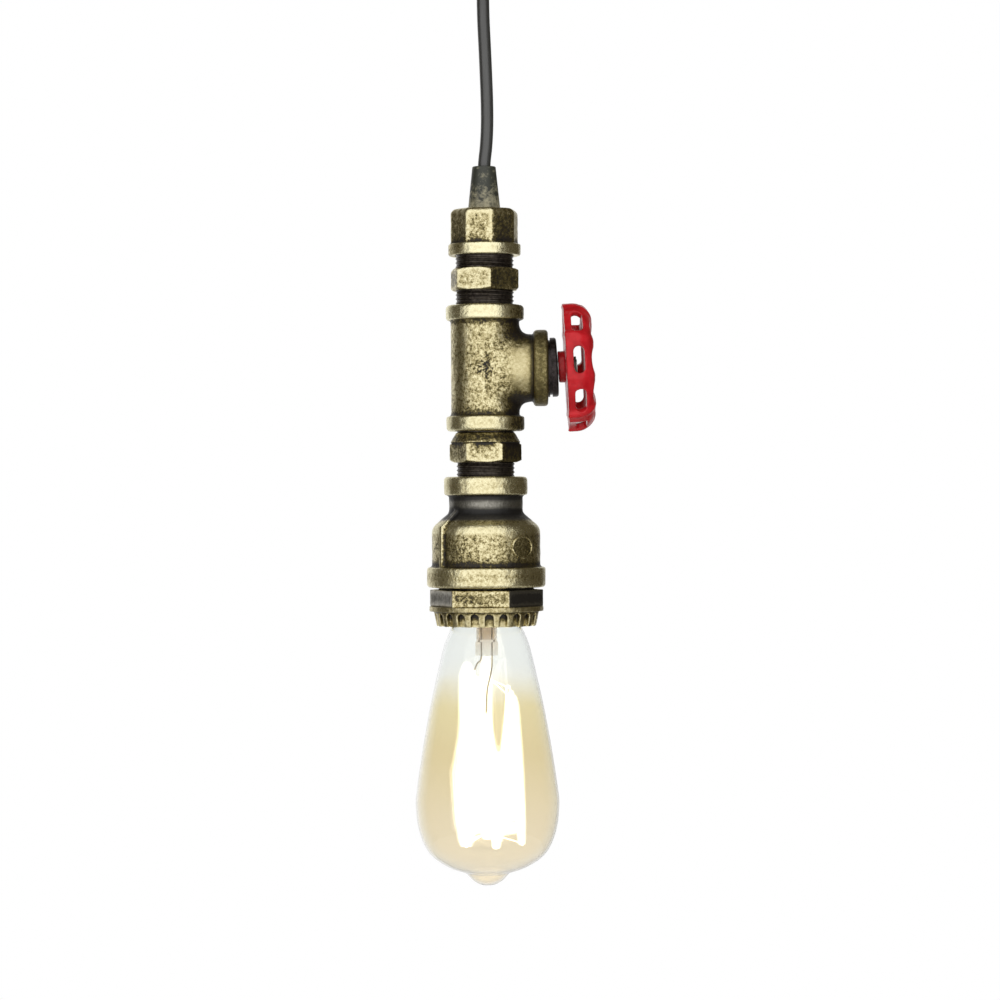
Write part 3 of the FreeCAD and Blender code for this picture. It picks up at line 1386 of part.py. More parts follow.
def lead_wires():
    """From the tip contact and from the cap, through the press, to the filament's two ends."""
    spacing = value("lead_spacing")
    press = value("stem_bottom")
    tip = value("tip_height + wire_gap")
    rim = value(NECK_RADIUS + " - lead_radius")
    shoulder = value("bulb_cap_top + bulb_cap_shoulder + lead_radius")
    first = in_bulb(*LEAD_HEADS[0])
    last = in_bulb(*LEAD_HEADS[1])
    short = -first.z - press
    long = -last.z - press
    from_tip = [Vector(0, 0, -tip), Vector(0, 0, -tip - 0.17 * press),
                Vector(-spacing, 0, -tip - 0.43 * press), Vector(-spacing, 0, -press - 0.42 * short),
                first + Vector(0.5 * spacing, 0.75 * spacing, 0.5 * short), first]
    from_cap = [Vector(rim, 0, -shoulder - 0.04 * press),
                Vector(rim - 2.1 * spacing, 0, -shoulder - 0.13 * press),
                Vector(spacing, 0, -shoulder - 0.32 * press), Vector(spacing, 0, -press - 0.16 * long),
                Vector(0.75 * spacing, -2.1 * spacing, -press - 0.32 * long),
                last + Vector(0.12 * spacing, -0.08 * spacing, 0.4 * long), last]
    hang(wire_piece("lead_wires", [from_tip, from_cap], "lead_radius"), BULB_TOP)


def filament():
    """One wire that zigzags round the rod, with a hairpin at each anchor."""
    half = value("hairpin_half_width")
    bends = []
    for index, (angle, across) in enumerate(STRAND_FEET):
        bends.append((angle, across, 1.0))
        bends += STRAND_HEADS[index:index + 1]
    route = []
    for bend in bends:
        route += [in_bulb(*bend, half), in_bulb(*bend, -half)]
    gap = value("lead_radius + wire_gap")
    first = in_bulb(*LEAD_HEADS[0])
    last = in_bulb(*LEAD_HEADS[1])
    route = [first + (route[0] - first).normalize() * gap] + route
    route += [last + (route[-1] - last).normalize() * gap]
    hang(wire_piece("filament", [route], "filament_radius", value("hairpin_bend")), BULB_TOP)


def anchors():
    """Straight wires from the rod's glass buttons, each passing through one hairpin."""
    start = value("button_radius + anchor_radius")
    inside = value("filament_radius + anchor_radius + wire_gap")
    overhang = value("anchor_overhang")
    upper_level = value(UPPER_BUTTON + " + button_height / 2")
    lower_level = value(ROD_END + " - button_height / 2")
    upper = [(angle, in_bulb(angle, across, down) - Z_AXIS * inside)
             for angle, across, down in STRAND_HEADS]
    lower = [(angle, in_bulb(angle, across, 1.0) + Z_AXIS * inside) for angle, across in STRAND_FEET]
    size = value("anchor_radius")
    for label, level, tips in (("upper_anchors", upper_level, upper),
                               ("lower_anchors", lower_level, lower)):
        rods = []
        for angle, tip in tips:
            root = Rotation(Z_AXIS, angle).multVec(X_AXIS * start) - Z_AXIS * level
            run = tip - root
            rods.append(Part.makeCylinder(size, run.Length + overhang, root, run))
        hang(shaped(label, Part.makeCompound(rods)), BULB_TOP)


ceiling_bracket()
ceiling_canopy()
canopy_screws()
terminal_block()
cord_grip()
hang(hex_nut("grip_locknut", "locknut_radius", "locknut_height", "grip_spigot_radius + seat"),
     "canopy_height - canopy_wall")
ceiling_cord_end()
grip_clamp_screw()
pendant_cord()
strain_relief_boot()
hang(hex_nut("boot_locknut", "locknut_radius", "locknut_height", "boot_spigot_radius + seat"),
     CAP_TOP + " + cap_wall + locknut_height")
cord_stop_collar()
lamp_cord_end()
octagonal_cap()
upper_hex_nipple()
tee()
lower_hex_nipple()
bell_reducer()
hex_bushing()
crown_ring()
lampholder_casing()
lampholder_insulator()
screw_shell()
centre_contact()
contact_terminals()
branch_plug()
switch_housing()
switch_end_cover()
switch_contacts()
switch_jam_nut()
switch_rotor()
spindle()
wheel_fasteners()
handwheel()
lamp_cores()
bulb_cap()
bulb_insulator()
bulb_tip_contact()
glass_envelope()
stem_glass()
centre_rod()
lead_wires()
filament()
anchors()

doc.recompute()
failed = [item.Name for item in doc.Objects if "Invalid" in item.State or "Error" in item.State]
failed += [item.Label for item in pieces if item.Shape.isNull() or not item.Shape.isValid()]
if failed:
    raise ValueError("failed: " + ", ".join(failed))
os.makedirs("parts", exist_ok=True)
for item in pieces:
    item.Shape.exportStep("parts/" + item.Label + ".step")
print("%d nodes" % len(pieces))
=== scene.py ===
import json
import math

import bmesh
import bpy
import numpy as np
from mathutils import Matrix, Vector, noise


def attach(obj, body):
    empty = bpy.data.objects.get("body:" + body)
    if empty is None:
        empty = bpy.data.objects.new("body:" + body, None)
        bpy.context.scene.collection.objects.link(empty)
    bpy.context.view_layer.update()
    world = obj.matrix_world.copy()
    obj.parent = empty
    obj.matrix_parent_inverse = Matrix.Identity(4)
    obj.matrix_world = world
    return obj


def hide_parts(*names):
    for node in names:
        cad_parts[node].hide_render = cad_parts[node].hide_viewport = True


# A pendant lamp of antique bronze pipe fittings. Metres, ceiling at z = 0, the handwheel along +X.

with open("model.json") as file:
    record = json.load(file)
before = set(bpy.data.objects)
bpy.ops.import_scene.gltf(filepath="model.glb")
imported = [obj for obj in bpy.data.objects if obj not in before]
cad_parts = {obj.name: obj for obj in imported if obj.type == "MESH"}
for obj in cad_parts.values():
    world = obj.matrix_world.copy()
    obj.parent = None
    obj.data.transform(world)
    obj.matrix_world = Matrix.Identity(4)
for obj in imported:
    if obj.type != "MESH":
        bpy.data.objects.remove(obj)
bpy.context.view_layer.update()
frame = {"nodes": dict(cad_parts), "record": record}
scene = bpy.context.scene
scene.view_settings.view_transform = "Standard"
MM = 0.001


def linear(code):
    """The linear colour of an sRGB hex value."""
    levels = [int(code[i:i + 2], 16) / 255 for i in (1, 3, 5)]
    return [v / 12.92 if v <= 0.04045 else ((v + 0.055) / 1.055) ** 2.4 for v in levels] + [1.0]


def add(tree, kind, inputs=None, stops=(), **settings):
    """Add a node with its settings, or a colour ramp with its stops, and give its inputs values or
    links from other nodes."""
    made = tree.nodes.new(kind)
    for name, setting in settings.items():
        setattr(made, name, setting)
    elements = made.color_ramp.elements if stops else ()
    while len(elements) < len(stops):
        elements.new(0.5)
    for element, (position, code) in zip(elements, stops):
        element.position = position
        element.color = linear(code)
    for key, source in (inputs or {}).items():
        if isinstance(source, bpy.types.Node):
            source = source.outputs[0]
        if isinstance(source, bpy.types.NodeSocket):
            tree.links.new(source, made.inputs[key])
        else:
            made.inputs[key].default_value = source
    return made


def new_object(name, data):
    made = bpy.data.objects.new(name, data)
    scene.collection.objects.link(made)
    return made


# Camera, in the photograph's place: level, and rolled by the little that the lamp leans there.
VIEW_ANGLE = math.radians(19.6)
VIEW_ROLL = math.radians(-0.33)
SENSOR_WIDTH = 36.0
camera = new_object("camera", bpy.data.cameras.new("camera"))
camera.data.sensor_width = SENSOR_WIDTH
camera.data.lens = SENSOR_WIDTH / 2 / math.tan(VIEW_ANGLE / 2)
camera.matrix_world = (Matrix.Translation((0.0063, -1.29, -0.2705))
                       @ Matrix.Rotation(math.radians(90), 4, "X")
                       @ Matrix.Rotation(VIEW_ROLL, 4, "Z"))
scene.camera = camera

# Cord, straight out of the ceiling grip, with a slight bow on its way into the boot: its route's
# points as mm towards the handwheel and under the ceiling.
CORD_POINTS = [(0, 33), (-0.2, 50), (0.9, 74), (1.7, 98), (1.2, 112), (0, 121), (0, 126)]
CORD_DIAMETER = 5.6 * MM
cord_curve = bpy.data.curves.new("pendant_cord_jacket", "CURVE")
cord_curve.dimensions = "3D"
spline = cord_curve.splines.new("NURBS")
spline.points.add(len(CORD_POINTS) - 1)
for point, (sideways, depth) in zip(spline.points, CORD_POINTS):
    point.co = (sideways * MM, 0, -depth * MM, 1)
    point.radius = CORD_DIAMETER / 2
spline.order_u = 3
spline.use_endpoint_u = True
spline.resolution_u = 24
# The points carry the cord's radius, because a curve's bound box counts it in as it stands there.
cord_curve.bevel_depth = 1.0
cord_curve.bevel_resolution = 12
cord_curve.use_fill_caps = True
cord = new_object("pendant_cord_jacket", cord_curve)
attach(cord, "cord")
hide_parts("pendant_cord")


def fresh(name):
    """An empty material, its nodes, and the place that its patterns are worked out from."""
    made = bpy.data.materials.new(name)
    made.use_nodes = True
    made.node_tree.nodes.clear()
    return made, made.node_tree, add(made.node_tree, "ShaderNodeTexCoord").outputs["Object"]


# Share of bronze on a plain surface that was rubbed neither more nor less than the rest.
PLAIN_RUBBING = 0.57


def rubbed_bronze():
    """Sand cast malleable iron, blackened, then bronzed and rubbed back: bright beads, flats and
    edges, with dark pits and hollows where the rubbing didn't reach, and painted light and shade
    on top: lighter on lit beads and flats, darker on side flats, necks and round the tee's branch.
    Its places are marked on the piece: how worn and how painted lit or shaded, how smooth, and
    where the bronze is thin and lets the grey iron through or a side flat has a painted grey sheen."""
    made, tree, place = fresh("rubbed_antique_bronze")
    wear_and_shade, smooth, grey = [add(tree, "ShaderNodeAttribute", attribute_name=name).outputs["Fac"]
                          for name in ("wear_and_shade", "smooth", "grey")]
    # Casting pits 1.4 mm across, sand grain 0.5 mm, and patches of heavier rubbing 13 mm.
    pits = add(tree, "ShaderNodeTexNoise", {"Vector": place, "Scale": 1000 / 1.4, "Detail": 5.0,
                                            "Roughness": 0.64, "Distortion": 0.25})
    sand = add(tree, "ShaderNodeTexNoise", {"Vector": place, "Scale": 1000 / 0.5, "Detail": 3.0})
    patches = add(tree, "ShaderNodeTexNoise", {"Vector": place, "Scale": 1000 / 13, "Detail": 2.0})
    speckle = add(tree, "ShaderNodeMapRange", {"Value": pits, "From Min": 0.30, "From Max": 0.66,
                                               "To Min": -0.33, "To Max": 0.27})
    for part, reach in ((sand, 0.14), (patches, 0.08)):
        part = add(tree, "ShaderNodeMapRange", {"Value": part, "From Min": 0.35, "From Max": 0.65,
                                                "To Min": -reach, "To Max": reach})
        speckle = add(tree, "ShaderNodeMath", {0: speckle, 1: part}, operation="ADD")
    # The speckle fades where the rubbing was hard or the painted light is high, where it never came
    # or the painted shade is deep, and where it is smooth.
    hard = add(tree, "ShaderNodeMapRange", {"Value": wear_and_shade, "From Min": 0.05, "From Max": 0.30,
                                            "To Min": 1.0, "To Max": 0.5})
    missed = add(tree, "ShaderNodeMapRange", {"Value": wear_and_shade, "From Min": -0.36, "From Max": -0.08,
                                              "To Min": 0.7, "To Max": 1.0})
    spread = add(tree, "ShaderNodeMath", {0: hard, 1: missed}, operation="MINIMUM")
    rest = add(tree, "ShaderNodeMapRange", {"Value": smooth, "To Min": 1.0, "To Max": 0.15})
    spread = add(tree, "ShaderNodeMath", {0: spread, 1: rest}, operation="MULTIPLY")
    level = add(tree, "ShaderNodeMath", {0: wear_and_shade, 1: PLAIN_RUBBING}, operation="ADD")
    share = add(tree, "ShaderNodeMath", {0: speckle, 1: spread, 2: level},
                operation="MULTIPLY_ADD")
    coat = add(tree, "ShaderNodeValToRGB", {"Fac": share}, stops=(
        (0.0, "#191412"), (0.24, "#2E2717"), (0.42, "#6B613B"), (0.60, "#B9AC80"),
        (0.80, "#E2D8AE"), (1.0, "#F6EFC8")))
    colour = add(tree, "ShaderNodeMapRange", {"Value": grey, "To Min": 1.0, "To Max": 0.25})
    coat = add(tree, "ShaderNodeHueSaturation", {"Color": coat, "Saturation": colour})
    metal = add(tree, "ShaderNodeMapRange", {"Value": share, "From Min": 0.15, "From Max": 0.5,
                                             "To Min": 0.25, "To Max": 0.97})
    rough = add(tree, "ShaderNodeMapRange", {"Value": share, "From Min": 0.1, "From Max": 0.9,
                                             "To Min": 0.48, "To Max": 0.27})
    relief = add(tree, "ShaderNodeMath", {0: sand, 1: 0.5, 2: pits}, operation="MULTIPLY_ADD")
    skin = add(tree, "ShaderNodeBump", {"Height": relief, "Distance": 0.16 * MM, "Strength": 0.85})
    shader = add(tree, "ShaderNodeBsdfPrincipled", {
        "Base Color": coat, "Metallic": metal.outputs[0], "Roughness": rough, "Normal": skin})
    add(tree, "ShaderNodeOutputMaterial", {"Surface": shader})
    return made


def mottled(name, dark, light, spot, metallic, rough, depth=0.02):
    """A finish of two near tones in spots of a real size, with a fine skin a fifth of that."""
    made, tree, place = fresh(name)
    spots = add(tree, "ShaderNodeTexNoise", {"Vector": place, "Scale": 1000 / spot, "Detail": 4.0,
                                             "Roughness": 0.65})
    fine = add(tree, "ShaderNodeTexNoise", {"Vector": place, "Scale": 5000 / spot})
    share = add(tree, "ShaderNodeMapRange", {"Value": spots, "From Min": 0.35, "From Max": 0.65})
    tone = add(tree, "ShaderNodeMix", {0: share, 6: linear(dark), 7: linear(light)},
               data_type="RGBA").outputs[2]
    gloss = add(tree, "ShaderNodeMapRange", {"Value": spots, "From Min": 0.3, "From Max": 0.7,
                                             "To Min": rough - 0.05, "To Max": rough + 0.05})
    skin = add(tree, "ShaderNodeBump", {"Height": fine, "Distance": depth * MM, "Strength": 0.6})
    shader = add(tree, "ShaderNodeBsdfPrincipled", {
        "Base Color": tone, "Metallic": metallic, "Roughness": gloss, "Normal": skin})
    add(tree, "ShaderNodeOutputMaterial", {"Surface": shader})
    return made


# Heights between which the dust on the boot thickens towards its foot.
DUST_TOP, DUST_FOOT = -0.128, -0.142


def boot_nylon():
    """Moulded dark grey nylon with bronze overspray: pale smears high up, dust round its foot."""
    made, tree, place = fresh("moulded_grey_nylon")
    height = add(tree, "ShaderNodeSeparateXYZ", {"Vector": place}).outputs["Z"]
    smears = add(tree, "ShaderNodeTexNoise", {"Vector": place, "Scale": 1000 / 2.6, "Detail": 5.0,
                                              "Roughness": 0.72, "Distortion": 0.4})
    fine = add(tree, "ShaderNodeTexNoise", {"Vector": place, "Scale": 1000 / 0.5})
    low = add(tree, "ShaderNodeMapRange", {"Value": height, "From Min": DUST_TOP,
                                           "From Max": DUST_FOOT, "To Min": -0.05, "To Max": 0.20})
    amount = add(tree, "ShaderNodeMath", {0: smears, 1: low}, operation="ADD")
    dust = add(tree, "ShaderNodeMapRange", {"Value": amount, "From Min": 0.50, "From Max": 0.76})
    under = add(tree, "ShaderNodeMix", {0: smears, 6: linear("#1E201B"), 7: linear("#4A4D44")},
                data_type="RGBA").outputs[2]
    tone = add(tree, "ShaderNodeMix", {0: dust, 6: under, 7: linear("#AAA489")},
               data_type="RGBA").outputs[2]
    skin = add(tree, "ShaderNodeBump", {"Height": fine, "Distance": 0.03 * MM, "Strength": 0.7})
    shader = add(tree, "ShaderNodeBsdfPrincipled", {"Base Color": tone, "Roughness": 0.45,
                                                    "Normal": skin})
    add(tree, "ShaderNodeOutputMaterial", {"Surface": shader})
    return made


def red_enamel():
    """Stove enamel over a cast wheel: deep red, glossy, pooling slightly uneven, orange peel."""
    made, tree, place = fresh("gloss_red_enamel")
    pools = add(tree, "ShaderNodeTexNoise", {"Vector": place, "Scale": 1000 / 6})
    peel = add(tree, "ShaderNodeTexNoise", {"Vector": place, "Scale": 1000 / 1.8})
    share = add(tree, "ShaderNodeMapRange", {"Value": pools, "From Min": 0.35, "From Max": 0.65})
    tone = add(tree, "ShaderNodeMix", {0: share, 6: linear("#B8121D"), 7: linear("#D6232D")},
               data_type="RGBA").outputs[2]
    skin = add(tree, "ShaderNodeBump", {"Height": peel, "Distance": 0.05 * MM, "Strength": 0.5})
    shader = add(tree, "ShaderNodeBsdfPrincipled", {
        "Base Color": tone, "Roughness": 0.34, "Specular IOR Level": 0.2, "Coat Weight": 0.22,
        "Coat Roughness": 0.07, "Normal": skin})
    add(tree, "ShaderNodeOutputMaterial", {"Surface": shader})
    return made


def cord_jacket():
    """Extruded round PVC, satin charcoal, with faint lines drawn along it by the die."""
    made, tree, place = fresh("extruded_charcoal_pvc")
    along = add(tree, "ShaderNodeMapping", {"Vector": place, "Scale": (1.0, 1.0, 0.06)})
    lines = add(tree, "ShaderNodeTexNoise", {"Vector": along, "Scale": 1000 / 0.9})
    tone = add(tree, "ShaderNodeMix", {0: lines, 6: linear("#2B2C2C"), 7: linear("#484949")},
               data_type="RGBA").outputs[2]
    skin = add(tree, "ShaderNodeBump", {"Height": lines, "Distance": 0.02 * MM, "Strength": 0.6})
    shader = add(tree, "ShaderNodeBsdfPrincipled", {
        "Base Color": tone, "Roughness": 0.36, "Specular IOR Level": 1.0, "Normal": skin})
    add(tree, "ShaderNodeOutputMaterial", {"Surface": shader})
    return made


# Heights of the amber stain's start and of its palest end, and of the pinch in the stem glass.
STAIN_TOP, STAIN_END = -0.336, -0.434
PINCH_LOW, PINCH_HIGH = -0.342, -0.332


def amber_glass():
    """Blown soda glass, clear at the neck, with a thin amber stain that starts below it and pales
    towards the end. Edge on, its colour is painted towards white: a painted reflection of the
    white room over its stain."""
    made, tree, place = fresh("amber_stained_glass")
    height = add(tree, "ShaderNodeSeparateXYZ", {"Vector": place}).outputs["Z"]
    haze = add(tree, "ShaderNodeTexNoise", {"Vector": place, "Scale": 1000 / 26})
    level = add(tree, "ShaderNodeMath", {0: haze, 1: 0.012, 2: height}, operation="MULTIPLY_ADD")
    down = add(tree, "ShaderNodeMapRange", {"Value": level, "From Min": STAIN_TOP,
                                            "From Max": STAIN_END})
    stain = add(tree, "ShaderNodeValToRGB", {"Fac": down}, stops=(
        (0.0, "#F7F9F7"), (0.06, "#F8F9F5"), (0.22, "#F3ECD1"), (0.42, "#F0E7CC"),
        (0.68, "#F4ECD8"), (1.0, "#F7F0E1")))
    # Painted reflection: edge on, the colour is painted towards the white of the room.
    edge = add(tree, "ShaderNodeMapRange", {
        "Value": add(tree, "ShaderNodeLayerWeight", {"Blend": 0.5}).outputs["Facing"],
        "From Min": 0.45, "From Max": 0.95})
    tone = add(tree, "ShaderNodeMix", {0: edge, 6: stain, 7: linear("#F4F6F6")},
               data_type="RGBA").outputs[2]
    shader = add(tree, "ShaderNodeBsdfPrincipled", {
        "Base Color": tone, "Roughness": 0.02, "IOR": 1.45, "Transmission Weight": 1.0})
    add(tree, "ShaderNodeOutputMaterial", {"Surface": shader})
    return made


def clear_glass():
    """Drawn lead glass, with a brown tinge where it is pinched round the wires."""
    made, tree, place = fresh("clear_lead_glass")
    height = add(tree, "ShaderNodeSeparateXYZ", {"Vector": place}).outputs["Z"]
    seeds = add(tree, "ShaderNodeTexNoise", {"Vector": place, "Scale": 1000 / 2.5})
    pinched = add(tree, "ShaderNodeMapRange", {"Value": height, "From Min": PINCH_LOW,
                                               "From Max": PINCH_HIGH})
    tone = add(tree, "ShaderNodeMix", {0: pinched, 6: linear("#F6F5F0"), 7: linear("#EBDCC9")},
               data_type="RGBA").outputs[2]
    skin = add(tree, "ShaderNodeBump", {"Height": seeds, "Distance": 0.05 * MM, "Strength": 0.4})
    shader = add(tree, "ShaderNodeBsdfPrincipled", {
        "Base Color": tone, "Roughness": 0.05, "IOR": 1.5, "Transmission Weight": 0.9,
        "Normal": skin})
    add(tree, "ShaderNodeOutputMaterial", {"Surface": shader})
    return made


def glow(name, strength, alpha):
    """White hot tungsten, and the light that it spreads round each strand."""
    made, tree, _ = fresh(name)
    shader = add(tree, "ShaderNodeBsdfPrincipled", {
        "Base Color": linear("#FFF9EA"), "Emission Color": linear("#FFFBF1"),
        "Emission Strength": strength, "Alpha": alpha, "Roughness": 1.0})
    add(tree, "ShaderNodeOutputMaterial", {"Surface": shader})
    return made


FINISHES = {
    "antique_bronze": rubbed_bronze(),
    # Spun steel, lacquered: an even dull brown sheen.
    "canopy_bronze": mottled("lacquered_bronze", "#6A5E45", "#8C7E5C", 4.0, 0.8, 0.45, 0.03),
    "wheel_red": red_enamel(),
    # Zinc plate: pale and slightly clouded.
    "zinc_steel": mottled("bright_zinc_plate", "#9EA0A0", "#C2C3C1", 1.5, 0.95, 0.34),
    # Cut pipe thread, blackened and oily: near black with a brown grey sheen.
    "dark_steel": mottled("blackened_steel_thread", "#29231F", "#575049", 1.4, 0.7, 0.32, 0.06),
    # Turned brass: clean and warm.
    "brass": mottled("turned_brass", "#B38E47", "#CFAE66", 1.5, 1.0, 0.3),
    "boot_plastic": boot_nylon(),
    "cord_jacket": cord_jacket(),
    # Extruded insulation: plain waxy colour.
    "core_brown": mottled("brown_pvc_insulation", "#54301A", "#653B22", 1.0, 0.0, 0.45),
    "core_blue": mottled("blue_pvc_insulation", "#1E4E8C", "#2A5DA0", 1.0, 0.0, 0.45),
    # Moulded polyamide: milky white.
    "block_white": mottled("white_polyamide", "#DAD9D0", "#E9E8E1", 1.2, 0.0, 0.5),
    # Moulded phenolic: black with a soft shine.
    "holder_black": mottled("black_phenolic", "#131313", "#1E1D1D", 0.9, 0.0, 0.35),
    # Pressed brass sheet: pale gold, slightly clouded.
    "cap_metal": mottled("pressed_brass_shell", "#B5A56E", "#CBBD88", 1.2, 1.0, 0.3),
    # Vitrite: black and wet looking.
    "black_glass": mottled("black_vitrite", "#0B0B0D", "#17171A", 1.0, 0.0, 0.12),
    # Soft solder: dull silver with a wrinkled skin.
    "solder": mottled("soft_solder", "#A3A4A3", "#BDBDBA", 0.8, 0.9, 0.4, 0.05),
    "amber_glass": amber_glass(),
    "clear_glass": clear_glass(),
    # Drawn nickel wire: pale, with a warm tint from the heat.
    "lead_wire": mottled("heat_tinted_nickel_wire", "#CFC4AC", "#E8DECA", 0.6, 0.3, 0.4),
    "filament_wire": glow("white_hot_tungsten", strength=1.6, alpha=1.0),
}
slot_of = {row["node"]: row["material_slot"] for row in frame["record"]["subparts"]}
for name, item in frame["nodes"].items():
    item.data.materials.clear()
    item.data.materials.append(FINISHES[slot_of[name]])
cord_curve.materials.append(FINISHES["cord_jacket"])
# The branch's plug is steel as well, but oilier and darker than the cut threads.
frame["nodes"]["branch_plug"].data.materials[0] = mottled(
    "oiled_steel_plug", "#1D1816", "#413A3A", 1.4, 0.7, 0.32, 0.06)
# The molybdenum hooks touch the filament, and its light drowns them: they are painted glowing.
for name in ("upper_anchors", "lower_anchors"):
    frame["nodes"][name].data.materials[0] = glow("painted_glow_molybdenum_" + name, strength=1.3,
                                                  alpha=1.0)


def settled(piece):
    """The piece with its modifiers applied, as a plain mesh."""
    ready = piece.evaluated_get(bpy.context.evaluated_depsgraph_get())
    mesh = bpy.data.meshes.new_from_object(ready)
    piece.modifiers.clear()
    piece.data = mesh
    return piece


def finished(piece, body, slot, *nodes):
    """The piece on its body, in place of the CAD nodes it stands for. Its finish's slot is not
    used.
    """
    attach(piece, body)
    if nodes:
        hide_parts(*nodes)
    return piece


def read(mesh, what):
    """The corners' places or normals, three numbers a row."""
    flat = np.empty(len(mesh.vertices) * 3)
    mesh.vertices.foreach_get(what, flat)
    return flat.reshape(-1, 3)


def relaxed(mesh, places, passes):
    """Corner places averaged over their neighbours again and again."""
    ends = np.empty(len(mesh.edges) * 2, dtype=int)
    mesh.edges.foreach_get("vertices", ends)
    first, second = ends.reshape(-1, 2).T
    count = np.bincount(np.concatenate((first, second)), minlength=len(places))[:, None]
    for _ in range(passes):
        total = np.stack([
            np.bincount(first, weights=places[second, axis], minlength=len(places))
            + np.bincount(second, weights=places[first, axis], minlength=len(places))
            for axis in range(3)], axis=1)
        places = total / np.maximum(count, 1)
    return places


def ramp(value, nothing_at, all_at):
    """A share that rises, or falls, evenly from nothing at one value to one at another."""
    return np.clip((value - nothing_at) / (all_at - nothing_at), 0, 1)


def between(depth, top, bottom):
    """One inside a band of depths and nothing outside, over an edge of a millimetre."""
    return ramp(depth, top - 0.5, top + 0.5) * ramp(depth, bottom + 0.5, bottom - 0.5)


def flat_at(x, y, first_corner, count):
    """The number of the flat round a hexagon or octagon, counted from its first corner's angle."""
    turn = np.degrees(np.arctan2(y, x)) - first_corner
    return np.floor(turn * count / 360).astype(int) % count


# A corner that stands this many mm proud of the evened surface is a sharp edge, and got this much
# more rubbing.
SHARP_EDGE = 0.25
EDGE_RUBBING = 0.20


def mark_wear_and_shade(piece, bands=(), flats=None, hollows=0.55):
    """How much rubbing each corner got: more on edges, less in hollows, then what each band of
    depths and each flat round the piece got of its own: rubbing, and painted light and shade."""
    places = read(piece.data, "co")
    evened = relaxed(piece.data, places, passes=40)
    offset = ((places - evened) * read(piece.data, "normal")).sum(axis=1)
    proud = np.clip(offset / (SHARP_EDGE * MM), -1, 1)
    wear_and_shade = hollows * np.minimum(proud, 0) + EDGE_RUBBING * np.maximum(proud, 0)
    depth = -places[:, 2] / MM
    for top, bottom, amount in bands:
        wear_and_shade += amount * between(depth, top, bottom)
    if flats:
        first_corner, top, bottom, amounts = flats
        flat = flat_at(places[:, 0], places[:, 1], first_corner, len(amounts))
        wear_and_shade += np.array(amounts)[flat] * between(depth, top, bottom)
    return wear_and_shade


def roughen(piece, size, depth):
    """Move the corners in and out like the skin of a sand casting."""
    places = read(piece.data, "co")
    shift = np.array([noise.fractal(Vector(place) / (size * MM), 0.6, 2.0, 3) for place in places])
    places = places + read(piece.data, "normal") * (shift * depth * MM)[:, None]
    piece.data.vertices.foreach_set("co", places.ravel())
    piece.data.update()


def softened(node, voxel, passes, low=None, high=None):
    """A copy of a CAD node with soft edges, whole or from one height to another."""
    shape = bmesh.new()
    shape.from_mesh(frame["nodes"][node].data)
    bmesh.ops.remove_doubles(shape, verts=shape.verts, dist=1e-6)
    for level, direction in ((low, -1), (high, 1)):
        if level is not None:
            everything = shape.verts[:] + shape.edges[:] + shape.faces[:]
            cut = bmesh.ops.bisect_plane(shape, geom=everything, plane_co=(0, 0, level * MM),
                                         plane_no=(0, 0, direction), clear_outer=True)
            rim = [item for item in cut["geom_cut"] if isinstance(item, bmesh.types.BMEdge)]
            bmesh.ops.holes_fill(shape, edges=rim, sides=0)
    mesh = bpy.data.meshes.new(node + "_casting")
    shape.to_mesh(mesh)
    shape.free()
    piece = new_object(node + "_casting", mesh)
    grid = piece.modifiers.new("even_skin", "REMESH")
    grid.mode = "VOXEL"
    grid.voxel_size = voxel * MM
    soft = piece.modifiers.new("soft_edges", "SMOOTH")
    soft.factor = 0.5
    soft.iterations = passes
    settled(piece)
    piece.data.shade_smooth()
    piece.data.materials.clear()
    piece.data.materials.append(FINISHES[slot_of[node]])
    return piece


def melt(piece, share, passes):
    """Run surfaces into each other where a share says so, as a casting's fillets do."""
    places = read(piece.data, "co")
    amount = share(*(places / MM).T)[:, None]
    places = places + amount * (relaxed(piece.data, places, passes) - places)
    piece.data.vertices.foreach_set("co", places.ravel())
    piece.data.update()


# The rounds of averaging that make a fillet, and the waves of a casting's skin in mm.
FILLET_PASSES = 160
SKIN_WAVE = 4.0


def casting(node, voxel, passes, body="lamp", low=None, high=None, rough=0.10, extra=None,
            fillet=None, smooth=None, grey=None, **marks):
    """A rubbed sand casting in the place of a CAD node, with its finish's marks."""
    piece = softened(node, voxel, passes, low, high)
    if fillet:
        melt(piece, fillet, FILLET_PASSES)
    wear_and_shade = mark_wear_and_shade(piece, **marks)
    x, y, z = (read(piece.data, "co") / MM).T
    if extra:
        wear_and_shade += extra(x, y, z)
    shares = {"wear_and_shade": wear_and_shade}
    if smooth:
        shares["smooth"] = smooth(x, y, z)
    if grey:
        shares["grey"] = grey(x, y, z)
    for name, values in shares.items():
        piece.data.attributes.new(name, "FLOAT", "POINT").data.foreach_set("value", values)
    roughen(piece, SKIN_WAVE, rough)
    return finished(piece, body, slot_of[node], node)


# The wheel's ribs: the angle of one of them under the wheel's front and their step, in degrees, and
# how far from the axis the rim starts, in mm.
FIRST_RIB = -27
RIB_STEP = 40
RIM_RADIUS = 21


